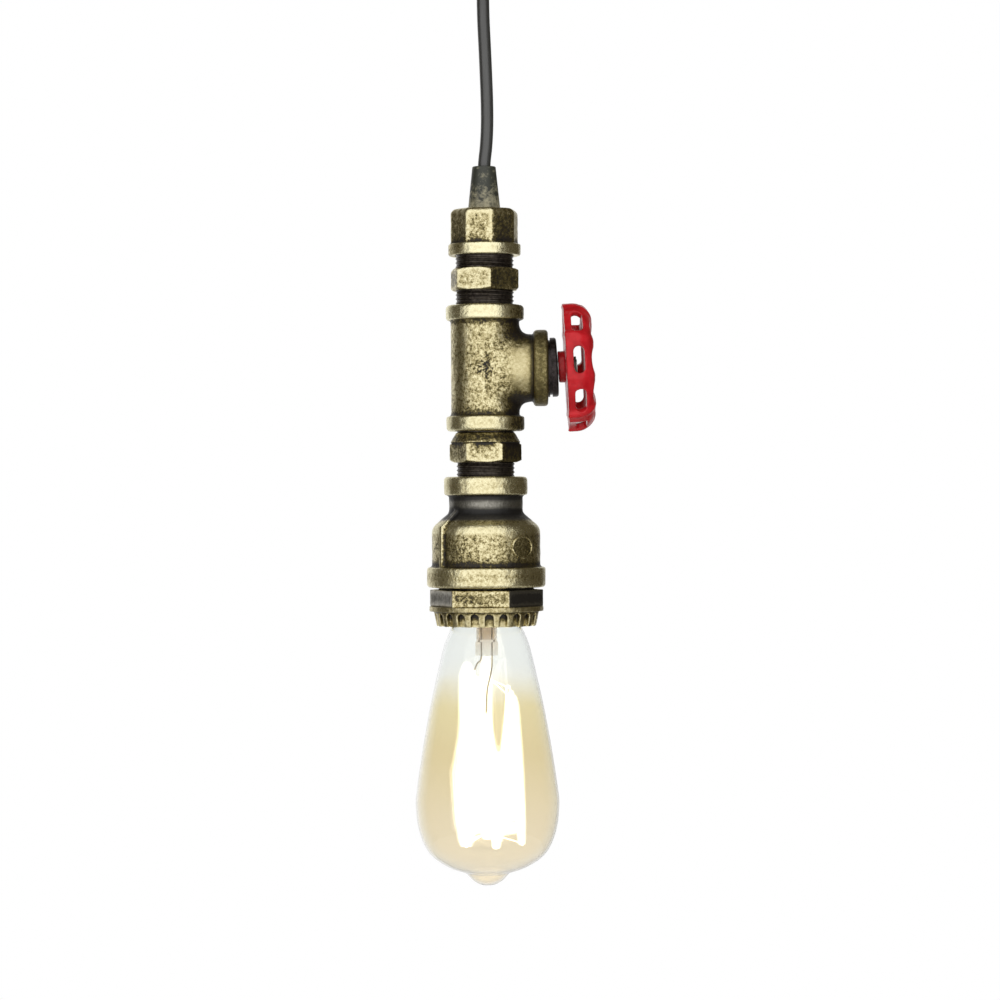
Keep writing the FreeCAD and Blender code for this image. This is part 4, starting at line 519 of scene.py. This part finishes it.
def raise_ribs(piece, height, width):
    """Raise a narrow rib over the rim of the wheel between each two of its nine windows."""
    turning = next(row for row in frame["record"]["behaviour"]["joints"] if row["child"] == "wheel")
    axis = np.array(turning["axis"])
    places, normals = read(piece.data, "co"), read(piece.data, "normal")
    off = places - np.array(turning["pos_m"])
    off -= (off @ axis)[:, None] * axis
    radius = np.linalg.norm(off, axis=1)
    front = np.array((0, -1, 0))
    turn = np.degrees(np.arctan2(off @ np.cross(axis, front), off @ front))
    from_rib = (turn - FIRST_RIB + RIB_STEP / 2) % RIB_STEP - RIB_STEP / 2
    aside = np.radians(from_rib) * radius / MM
    outward = np.clip((normals * off).sum(axis=1) / np.maximum(radius, MM), 0, 1)
    amount = height * MM * np.exp(-(aside / width) ** 2) * np.minimum(outward * 2, 1)
    amount *= radius > RIM_RADIUS * MM
    piece.data.vertices.foreach_set("co", (places + normals * amount[:, None]).ravel())
    piece.data.update()


# The tee in mm: its branch's depth under the ceiling, the radii of its run and its branch, how far
# above and below the branch's axis the fillet stays, how far out the branch's bead starts, and the
# sizes of the casting pits on its front and of their cluster.
BRANCH_DEPTH = 211.8
RUN_RADIUS = 15.2
BRANCH_RADIUS = 15.0
FILLET_REACH = 21
BEAD_START = 21
PIT_SIZE = 0.8
PIT_CLUSTER = 3.8


def tee_fillet(x, y, z):
    """Where the branch of the tee meets its run."""
    aside = z + BRANCH_DEPTH
    off = np.abs(np.hypot(x, y) - RUN_RADIUS) + np.abs(np.hypot(y, aside) - BRANCH_RADIUS)
    return ramp(off, 5.85, 1.35) * (x > 0) * (np.abs(aside) < FILLET_REACH)


def tee_shade_and_pits(x, y, z):
    """Painted shade on the body round the branch and on the branch's bead, a faint painted
    highlight along the middle of the branch, and a cluster of casting pits on the front of the
    body."""
    aside = np.abs(z + BRANCH_DEPTH)
    branch_shade = ramp(aside, 10, 14) * ramp(x, 8, 13)
    beyond = ramp(x, BEAD_START, BEAD_START + 1)
    smooth = ramp(aside, 8, 3) * ramp(x, 7, 10) * (1 - beyond)
    away = np.hypot(x - 0.3, aside)
    spots = np.stack((x, y, z), axis=1) / PIT_SIZE
    holes = np.array([noise.noise(Vector(spot)) for spot in spots])
    pits = np.exp(-(away / PIT_CLUSTER) ** 2) * (holes > 0.05) * (y <= 0)
    return -0.42 * branch_shade * (1 - beyond) - 0.35 * beyond + 0.02 * smooth - 0.8 * pits


def tee_smooth(x, y, z):
    """The branch and its bead, smoothest along the middle of the branch, where its painted
    highlight runs.
    """
    aside = np.abs(z + BRANCH_DEPTH)
    return ramp(x, 9, 13) * np.where(x > BEAD_START, 0.8, 0.85 * ramp(aside, 14.4, 8.4))


def bell_neck(x, y, z):
    """The bell's neck, down to the shoulder."""
    return between(-z, 268.6, 279.4)


# Angle of the bushing's first corner, and the depths between which its hexagon lies.
BUSHING_CORNER = -66.2
BUSHING_BAND = (300.0, 318.0)


def bushing_side_sheen(x, y, z):
    """The bushing's flats left and right of the front one, smooth and grey: a painted sheen."""
    beside = np.isin(flat_at(x, y, BUSHING_CORNER, 6), (0, 4))
    return 0.9 * beside * between(-z, *BUSHING_BAND)


def crown_smooth(x, y, z):
    """The crown, all over."""
    return np.full(len(x), 0.6)


def crown_arch_light_and_shade(x, y, z):
    """Painted light and shade in the arches: their floors lighter low down, a painted glow from the
    bulb, and their round tops darker, a painted shadow.
    """
    floor = ramp(np.hypot(x, y), 21.9, 21.3)
    return floor * (ramp(-z, 320.5, 324.0) * 0.55 - 0.45)


# The plain round mark on the bell, in mm: its angle, its depth under the ceiling, how much wider
# than high it is, and the radii of its ring, of the ring's wire, of the floor inside it and of the
# bell.
MARK_TURN = math.radians(-47)
MARK_DEPTH = 291.3
MARK_WIDER = 1.25
MARK_RADIUS = 4.6
MARK_WIRE = 0.6
MARK_FLOOR = 4.4
BELL_RADIUS = 24.1


def bell_rubbing(x, y, z):
    """Darker inside the round mark."""
    across = (np.arctan2(y, x) - MARK_TURN) * BELL_RADIUS / MARK_WIDER
    return -0.15 * (np.hypot(across, z + MARK_DEPTH) < MARK_FLOOR)


def cap_left_shade(x, y, z):
    """The left end of the cap's bead is darker: painted shade."""
    return -0.26 * ramp(-x, 8.5, 11.5) * between(-z, 156.6, 162.0)


# Each casting's voxel in mm and rounds of softening. A band is the depths under the ceiling of its
# top and bottom, and what it got more or less, partly rubbing and partly painted light and shade.
# Flats are the first corner's angle, the depths of their top and bottom, and what each flat got
# more or less, counted from that corner: painted light and shade, lighter on flats facing the
# light and darker on those turned away.
casting("octagonal_cap", 0.36, 3, extra=cap_left_shade, hollows=0.35,
        bands=[(156.6, 161.8, 0.22)],
        flats=(-76.6, 140.0, 156.0, (-0.25, 0.1, -0.2, 0.12, -0.25, 0.0, -0.02, 0.07)))
casting("tee", 0.42, 3, extra=tee_shade_and_pits, fillet=tee_fillet, smooth=tee_smooth, hollows=0.3,
        bands=[(183.0, 190.4, 0.22), (190.4, 202.0, 0.05), (202.0, 233.2, 0.01),
               (233.2, 240.5, 0.12)])
casting("bell_reducer", 0.46, 3, extra=bell_rubbing, smooth=bell_neck, grey=bell_neck, hollows=0.4,
        bands=[(260.0, 268.3, 0.09), (268.3, 275.0, -0.12), (275.0, 279.2, -0.32),
               (280.0, 285.5, 0.08), (285.5, 299.5, -0.04), (299.5, 310.0, 0.06)])
casting("hex_bushing", 0.40, 2, smooth=bushing_side_sheen, grey=bushing_side_sheen,
        flats=(BUSHING_CORNER, *BUSHING_BAND, (-0.40, -0.1, -0.3, 0.0, -0.18, -0.14)))
casting("crown_ring", 0.30, 2, extra=crown_arch_light_and_shade, smooth=crown_smooth, hollows=0.15,
        bands=[(317.0, 320.2, -0.12), (320.2, 327.0, -0.05)])
wheel = casting("handwheel", 0.42, 5, "wheel", rough=0.06)
raise_ribs(wheel, height=0.5, width=1.7)
# No red in the bronze beside it, which the photograph doesn't show either.
wheel.visible_glossy = False
casting("upper_hex_nipple", 0.34, 2, low=-177.3, high=-167.5,
        flats=(-80.2, 167.0, 178.0, (-0.26, -0.1, -0.3, 0.0, -0.12, 0.09)))
casting("lower_hex_nipple", 0.34, 2, low=-253.7, high=-240.5,
        bands=[(240.0, 244.8, -0.28)],
        flats=(-61.6, 244.8, 254.0, (-0.42, 0.0, -0.3, -0.1, 0.0, 0.06)))


def thread_tree():
    """Geometry Nodes for a cut pipe thread: a short tube with a ridge that winds up it."""
    tree = bpy.data.node_groups.new("pipe_thread", "GeometryNodeTree")
    for title, kind in (("Root Radius", "Float"), ("Bore Radius", "Float"), ("Ridge", "Float"),
                        ("Pitch", "Float"), ("Length", "Float"), ("Bottom", "Float"),
                        ("Finish", "Material")):
        tree.interface.new_socket(title, in_out="INPUT", socket_type="NodeSocket" + kind)
    tree.interface.new_socket("Thread", in_out="OUTPUT", socket_type="NodeSocketGeometry")
    size = add(tree, "NodeGroupInput").outputs
    wall = add(tree, "ShaderNodeMath", {0: size["Root Radius"], 1: size["Bore Radius"]},
               operation="SUBTRACT")
    middle = add(tree, "ShaderNodeMath", {0: wall, 1: -0.5, 2: size["Root Radius"]},
                 operation="MULTIPLY_ADD")
    ring = add(tree, "GeometryNodeCurvePrimitiveCircle", {"Resolution": 120, "Radius": middle})
    section = add(tree, "GeometryNodeCurvePrimitiveQuadrilateral", {"Width": wall,
                                                                    "Height": size["Length"]})
    tube = add(tree, "GeometryNodeCurveToMesh", {"Curve": ring, "Profile Curve": section})
    half = add(tree, "ShaderNodeMath", {0: size["Length"], 1: 0.5, 2: size["Bottom"]},
               operation="MULTIPLY_ADD")
    lift = add(tree, "ShaderNodeCombineXYZ", {"Z": half})
    tube = add(tree, "GeometryNodeTransform", {"Geometry": tube, "Translation": lift})
    turns = add(tree, "ShaderNodeMath", {0: size["Length"], 1: size["Pitch"]}, operation="DIVIDE")
    helix = add(tree, "GeometryNodeCurveSpiral", {
        "Resolution": 96, "Rotations": turns, "Start Radius": size["Root Radius"],
        "End Radius": size["Root Radius"], "Height": size["Length"]})
    upright = add(tree, "GeometryNodeSetCurveNormal", {"Curve": helix}, mode="Z_UP")
    edge = add(tree, "GeometryNodeCurvePrimitiveCircle", {"Resolution": 4, "Radius": size["Ridge"]})
    ridge = add(tree, "GeometryNodeCurveToMesh", {"Curve": upright, "Profile Curve": edge,
                                                  "Fill Caps": True})
    foot = add(tree, "ShaderNodeCombineXYZ", {"Z": size["Bottom"]})
    ridge = add(tree, "GeometryNodeTransform", {"Geometry": ridge, "Translation": foot})
    whole = add(tree, "GeometryNodeJoinGeometry")
    tree.links.new(tube.outputs[0], whole.inputs[0])
    tree.links.new(ridge.outputs[0], whole.inputs[0])
    whole = add(tree, "GeometryNodeRealizeInstances", {"Geometry": whole})
    whole = add(tree, "GeometryNodeSetMaterial", {"Geometry": whole, "Material": size["Finish"]})
    add(tree, "NodeGroupOutput", {"Thread": whole})
    return tree


# The cut threads: the depths under the ceiling of each one's lower and upper end, and the form that
# they share, a 3/4 inch gas thread, in mm.
THREADS = {"upper_thread_in_cap": (167.6, 151.5), "upper_thread_in_tee": (194.5, 177.2),
           "lower_thread_in_tee": (240.6, 229.1), "lower_thread_in_bell": (270.8, 253.6)}
THREAD_FORM = {"Root Radius": 12.5, "Bore Radius": 9.7, "Ridge": 0.52, "Pitch": 1.814}
thread = thread_tree()
sockets = {item.name: item.identifier for item in thread.interface.items_tree}
for title, (bottom, top) in THREADS.items():
    piece = new_object(title, bpy.data.meshes.new(title))
    maker = piece.modifiers.new("thread", "NODES")
    maker.node_group = thread
    for name, amount in {**THREAD_FORM, "Length": bottom - top, "Bottom": -bottom}.items():
        maker[sockets[name]] = amount * MM
    maker[sockets["Finish"]] = FINISHES["dark_steel"]
    finished(settled(piece), "lamp", "dark_steel")


def turned(name, outline, sides=160):
    """A closed form turned from an outline of radius and depth in mm that ends on the axis or
    comes back to its start."""
    rows = np.array(outline)
    angles = np.linspace(0, 2 * math.pi, sides, endpoint=False)
    places = np.stack((rows[:, :1] * np.cos(angles), rows[:, :1] * np.sin(angles),
                       np.repeat(-rows[:, 1:], sides, axis=1)), axis=2)
    index = np.arange(len(rows) * sides).reshape(len(rows), sides)
    after = np.roll(index, -1, axis=0)
    quads = np.stack((index, np.roll(index, -1, axis=1), np.roll(after, -1, axis=1), after), axis=2)
    on_axis = (rows[:, 0] == 0) & (np.roll(rows[:, 0], -1) == 0)
    quads = quads[~on_axis].reshape(-1, 4)
    mesh = bpy.data.meshes.new(name)
    mesh.from_pydata((places.reshape(-1, 3) * MM).tolist(), [], quads.tolist())
    shape = bmesh.new()
    shape.from_mesh(mesh)
    bmesh.ops.remove_doubles(shape, verts=shape.verts, dist=1e-7)
    if shape.calc_volume(signed=True) < 0:
        bmesh.ops.reverse_faces(shape, faces=shape.faces)
    shape.to_mesh(mesh)
    shape.free()
    mesh.shade_smooth()
    return new_object(name, mesh)


def smooth_line(points, steps=10, passes=4):
    """Points along a smooth line through a few given ones."""
    points = np.array(points, dtype=float)
    padded = np.vstack((2 * points[0] - points[1], points, 2 * points[-1] - points[-2]))
    line = []
    for a, b, c, d in zip(padded, padded[1:], padded[2:], padded[3:]):
        for t in np.arange(steps) / steps:
            line.append(0.5 * (2 * b + (c - a) * t + (2 * a - 5 * b + 4 * c - d) * t ** 2
                               + (3 * b - a - 3 * c + d) * t ** 3))
    line = np.array(line + [points[-1]])
    for _ in range(passes):
        line[1:-1] = (line[:-2] + 2 * line[1:-1] + line[2:]) / 4
    return line


def inset(line, wall):
    """A line moved towards the bulb's inside by the glass wall."""
    along = np.gradient(line, axis=0)
    along /= np.hypot(along[:, 0], along[:, 1])[:, None]
    return line + np.stack((-along[:, 1], along[:, 0]), axis=1) * wall


# A plain raised ring, wrapped round the bell's side.
circle = [(MARK_RADIUS + MARK_WIRE * math.cos(turn), MARK_WIRE * math.sin(turn))
          for turn in np.linspace(0, 2 * math.pi, 12, endpoint=False)]
ring = turned("bell_cast_ring", circle, sides=64)
across, up, out = (read(ring.data, "co") / MM).T
turn = MARK_TURN + across * MARK_WIDER / BELL_RADIUS
wrapped = np.stack(((BELL_RADIUS + out) * np.cos(turn), (BELL_RADIUS + out) * np.sin(turn),
                    up - MARK_DEPTH), axis=1) * MM
ring.data.vertices.foreach_set("co", wrapped.ravel())
ring.data.update()
ring.data.materials.append(FINISHES["antique_bronze"])
finished(ring, "lamp", "antique_bronze")

# Bulb, in mm: radius and depth under the ceiling of the glass pear and of the pip on its end.
PEAR = [(11.85, 314.7), (11.85, 319.7), (13.4, 322.1), (15.5, 326.7), (18.6, 333.9), (20.7, 341.8),
        (25.0, 360.7), (28.7, 380.7), (31.4, 398.7), (32.0, 406.8), (30.6, 417.7), (26.3, 427.3),
        (18.7, 433.2), (9.8, 436.6)]
PIP = [(9.8, 436.6), (8.6, 437.8), (6.4, 440.0), (3.5, 441.6), (0.0, 442.2)]
GLASS_WALL = 0.9
pear = smooth_line(PEAR)
pip = smooth_line(PIP, steps=6, passes=2)
inner_pear = inset(pear, GLASS_WALL)
inner_pip = inset(pip, GLASS_WALL)
inner_pip[-1, 0] = 0
glass = turned("bulb_glass", np.vstack((pear, pip[1:], inner_pip[:0:-1], inner_pear[::-1])))
glass.data.materials.append(FINISHES["amber_glass"])
finished(glass, "bulb", "amber_glass", "glass_envelope")

# Glow: the centre contact's depth under the ceiling, and the angle, radius and depth under the
# contact of each bend of the filament.
CONTACT_DEPTH = 292.7
BENDS = [(214, 11.5, 131.5), (178, 8.8, 50.0), (142, 13.0, 131.5), (106, 9.5, 57.0),
         (70, 13.5, 131.5), (34, 13.1, 63.0), (358, 15.2, 131.5), (322, 15.2, 64.0),
         (286, 13.0, 131.5)]
# How far the glow spreads, in mm, at depths under the contact, left and right of the rod.
GLOW_DEPTHS = [50, 64, 80, 90, 100, 120, 134]
GLOW_LEFT = [3.2, 3.5, 3.1, 4.6, 6.4, 4.9, 2.2]
GLOW_RIGHT = [1.8, 2.0, 2.3, 2.6, 2.6, 2.3, 1.5]
# In mm: the width over which the spread changes from left to right, the depth under a top bend over
# which it grows, the depths of the haze between the strands, the glowing rod's ends, and the voxel
# of the shells.
GLOW_WIDTH = 16
GLOW_FADE = 7
HAZE_DEPTHS = range(94, 126, 6)
ROD_ENDS = ((-0.4, 0, 47), (0, 0, 129))
GLOW_VOXEL = 0.6
# Steps along each run, and the shells' brightness, where 1 is white.
GLOW_STEPS = 15
GLOW_STRENGTH = 1.4


def glow_runs():
    """Straight runs of the glow: the strands, the rod, and the haze between low on the strands."""
    corners = []
    for angle, radius, depth in BENDS:
        turn = math.radians(angle)
        corners.append(Vector((radius * math.cos(turn), radius * math.sin(turn), depth)))
    strands = list(zip(corners, corners[1:]))
    runs = strands + [tuple(Vector(end) for end in ROD_ENDS)]
    for level in HAZE_DEPTHS:
        row = [start.lerp(end, (level - start.z) / (end.z - start.z)) for start, end in strands]
        runs += zip(row, row[1:])
    return runs


def glow_sleeve(name, share, alpha):
    """The light round the filament as one soft shell, at a share of its full spread."""
    curve = bpy.data.curves.new(name, "CURVE")
    curve.dimensions = "3D"
    for start, end in glow_runs():
        line = curve.splines.new("POLY")
        line.points.add(GLOW_STEPS)
        for step, point in enumerate(line.points):
            spot = start.lerp(end, step / GLOW_STEPS)
            side = min(max(spot.x / GLOW_WIDTH + 0.5, 0), 1)
            spread = (np.interp(spot.z, GLOW_DEPTHS, GLOW_LEFT) * (1 - side)
                      + np.interp(spot.z, GLOW_DEPTHS, GLOW_RIGHT) * side)
            upright = abs(start.z - end.z) > 1
            under_top = (spot.z - min(start.z, end.z)) / GLOW_FADE
            top = min(under_top + 0.25, 1) if upright else 1
            point.co = (spot.x * MM, spot.y * MM, -(CONTACT_DEPTH + spot.z) * MM, 1)
            point.radius = spread * share * math.sqrt(top)
    curve.bevel_depth = MM
    curve.bevel_resolution = 5
    curve.use_fill_caps = True
    tubes = new_object(name + "_tubes", curve)
    ready = tubes.evaluated_get(bpy.context.evaluated_depsgraph_get())
    piece = new_object(name, bpy.data.meshes.new_from_object(ready))
    bpy.data.objects.remove(tubes)
    grid = piece.modifiers.new("one_shell", "REMESH")
    grid.mode = "VOXEL"
    grid.voxel_size = GLOW_VOXEL * MM
    soft = piece.modifiers.new("soft_shell", "SMOOTH")
    soft.factor = 0.5
    soft.iterations = 8
    settled(piece)
    piece.data.shade_smooth()
    piece.data.materials.clear()
    piece.data.materials.append(glow(name, GLOW_STRENGTH, alpha))
    # The bulb's walls mirror the filament alone, not the haze round it.
    piece.visible_glossy = False
    return finished(piece, "bulb", "filament_wire")


for name, share, alpha in (("faint", 1.2, 0.08), ("wide", 1.0, 0.25), ("middle", 0.75, 0.35),
                           ("close", 0.45, 0.5)):
    glow_sleeve("filament_glow_" + name, share, alpha)

# Studio: white behind, dark flags at the sides, one wide soft light in front, high and left.
WHITE = (1, 1, 1, 1)
FLAG_TONE = (0.060, 0.050, 0.030, 1)
# The white behind is turned a little to the left, and starts at this share of straight behind.
BEHIND_TURN = -0.28
BEHIND_START = 0.66
world = bpy.data.worlds.new("white_studio")
world.use_nodes = True
scene.world = world
room = world.node_tree
room.nodes.clear()
heading = add(room, "ShaderNodeSeparateXYZ", {
    "Vector": add(room, "ShaderNodeTexCoord").outputs["Generated"]}).outputs
rays = add(room, "ShaderNodeLightPath").outputs
away = add(room, "ShaderNodeMath", {0: heading["X"], 1: BEHIND_TURN, 2: heading["Y"]},
           operation="MULTIPLY_ADD")
behind = add(room, "ShaderNodeMapRange", {"Value": away, "From Min": BEHIND_START,
                                          "From Max": 1.0})
seen = add(room, "ShaderNodeMath", {0: rays["Is Camera Ray"], 1: rays["Is Transmission Ray"]},
           operation="MAXIMUM")
seen = add(room, "ShaderNodeMath", {0: seen, 1: rays["Transmission Depth"]}, operation="MAXIMUM")
white = add(room, "ShaderNodeMath", {0: behind, 1: seen}, operation="MAXIMUM", use_clamp=True)
tone = add(room, "ShaderNodeMix", {0: white, 6: FLAG_TONE, 7: WHITE},
           data_type="RGBA").outputs[2]
sky = add(room, "ShaderNodeBackground", {"Color": tone})
add(room, "ShaderNodeOutputWorld", {"Surface": sky})


def soft_light(name, place, aim, width, height, level):
    """A soft panel of a given brightness, where 1 is white."""
    panel = bpy.data.lights.new(name, "AREA")
    panel.shape = "RECTANGLE"
    panel.size = width
    panel.size_y = height
    panel.energy = level * math.pi * width * height
    made = new_object(name, panel)
    turn = (Vector(aim) - Vector(place)).to_track_quat("-Z", "Y")
    made.matrix_world = Matrix.Translation(place) @ turn.to_matrix().to_4x4()
    made.visible_camera = False
    # Seen through glass, the room behind a panel is as white as beside it.
    made.visible_transmission = False
    return made


soft_light("front_softbox", (-0.31, -0.9, 0.665), (-0.31, 0, 0.665), width=2.76, height=3.67,
           level=1.14)
# A weak fill for the side that the photograph doesn't show. The metal doesn't mirror it.
fill = soft_light("side_fill", (1.3, 0.1, 0.1), (0, 0, -0.22), width=1.4, height=1.4, level=0.5)
fill.visible_glossy = False

FLOOR_DEPTH = 0.85
FLOOR_RADIUS = 0.82
floor_mesh = bpy.data.meshes.new("studio_floor")
sheet = bmesh.new()
bmesh.ops.create_circle(sheet, cap_ends=True, segments=96, radius=FLOOR_RADIUS)
bmesh.ops.translate(sheet, verts=sheet.verts, vec=(0, 0, -FLOOR_DEPTH))
sheet.to_mesh(floor_mesh)
sheet.free()
floor = new_object("studio_floor", floor_mesh)
# Painted board: plain pale grey that keeps the lamp's shadow, with half of the room's white in what
# the camera sees of it, and as white as the room when seen through glass.
board = mottled("pale_studio_floor", "#E9E9E7", "#F1F1EF", 60.0, 0.0, 0.7)
tree = board.node_tree
painted = next(node for node in tree.nodes if node.type == "BSDF_PRINCIPLED")
result = next(node for node in tree.nodes if node.type == "OUTPUT_MATERIAL")
rays = add(tree, "ShaderNodeLightPath").outputs
through = add(tree, "ShaderNodeMath", {0: rays["Is Transmission Ray"],
                                       1: rays["Transmission Depth"]},
              operation="MAXIMUM", use_clamp=True)
whitened = add(tree, "ShaderNodeMath", {0: rays["Is Camera Ray"], 1: 0.5, 2: through},
               operation="MULTIPLY_ADD", use_clamp=True)
bright = add(tree, "ShaderNodeEmission", {"Color": WHITE})
mixed = add(tree, "ShaderNodeMixShader", {0: whitened, 1: painted, 2: bright})
tree.links.new(mixed.outputs[0], result.inputs["Surface"])
floor_mesh.materials.append(board)
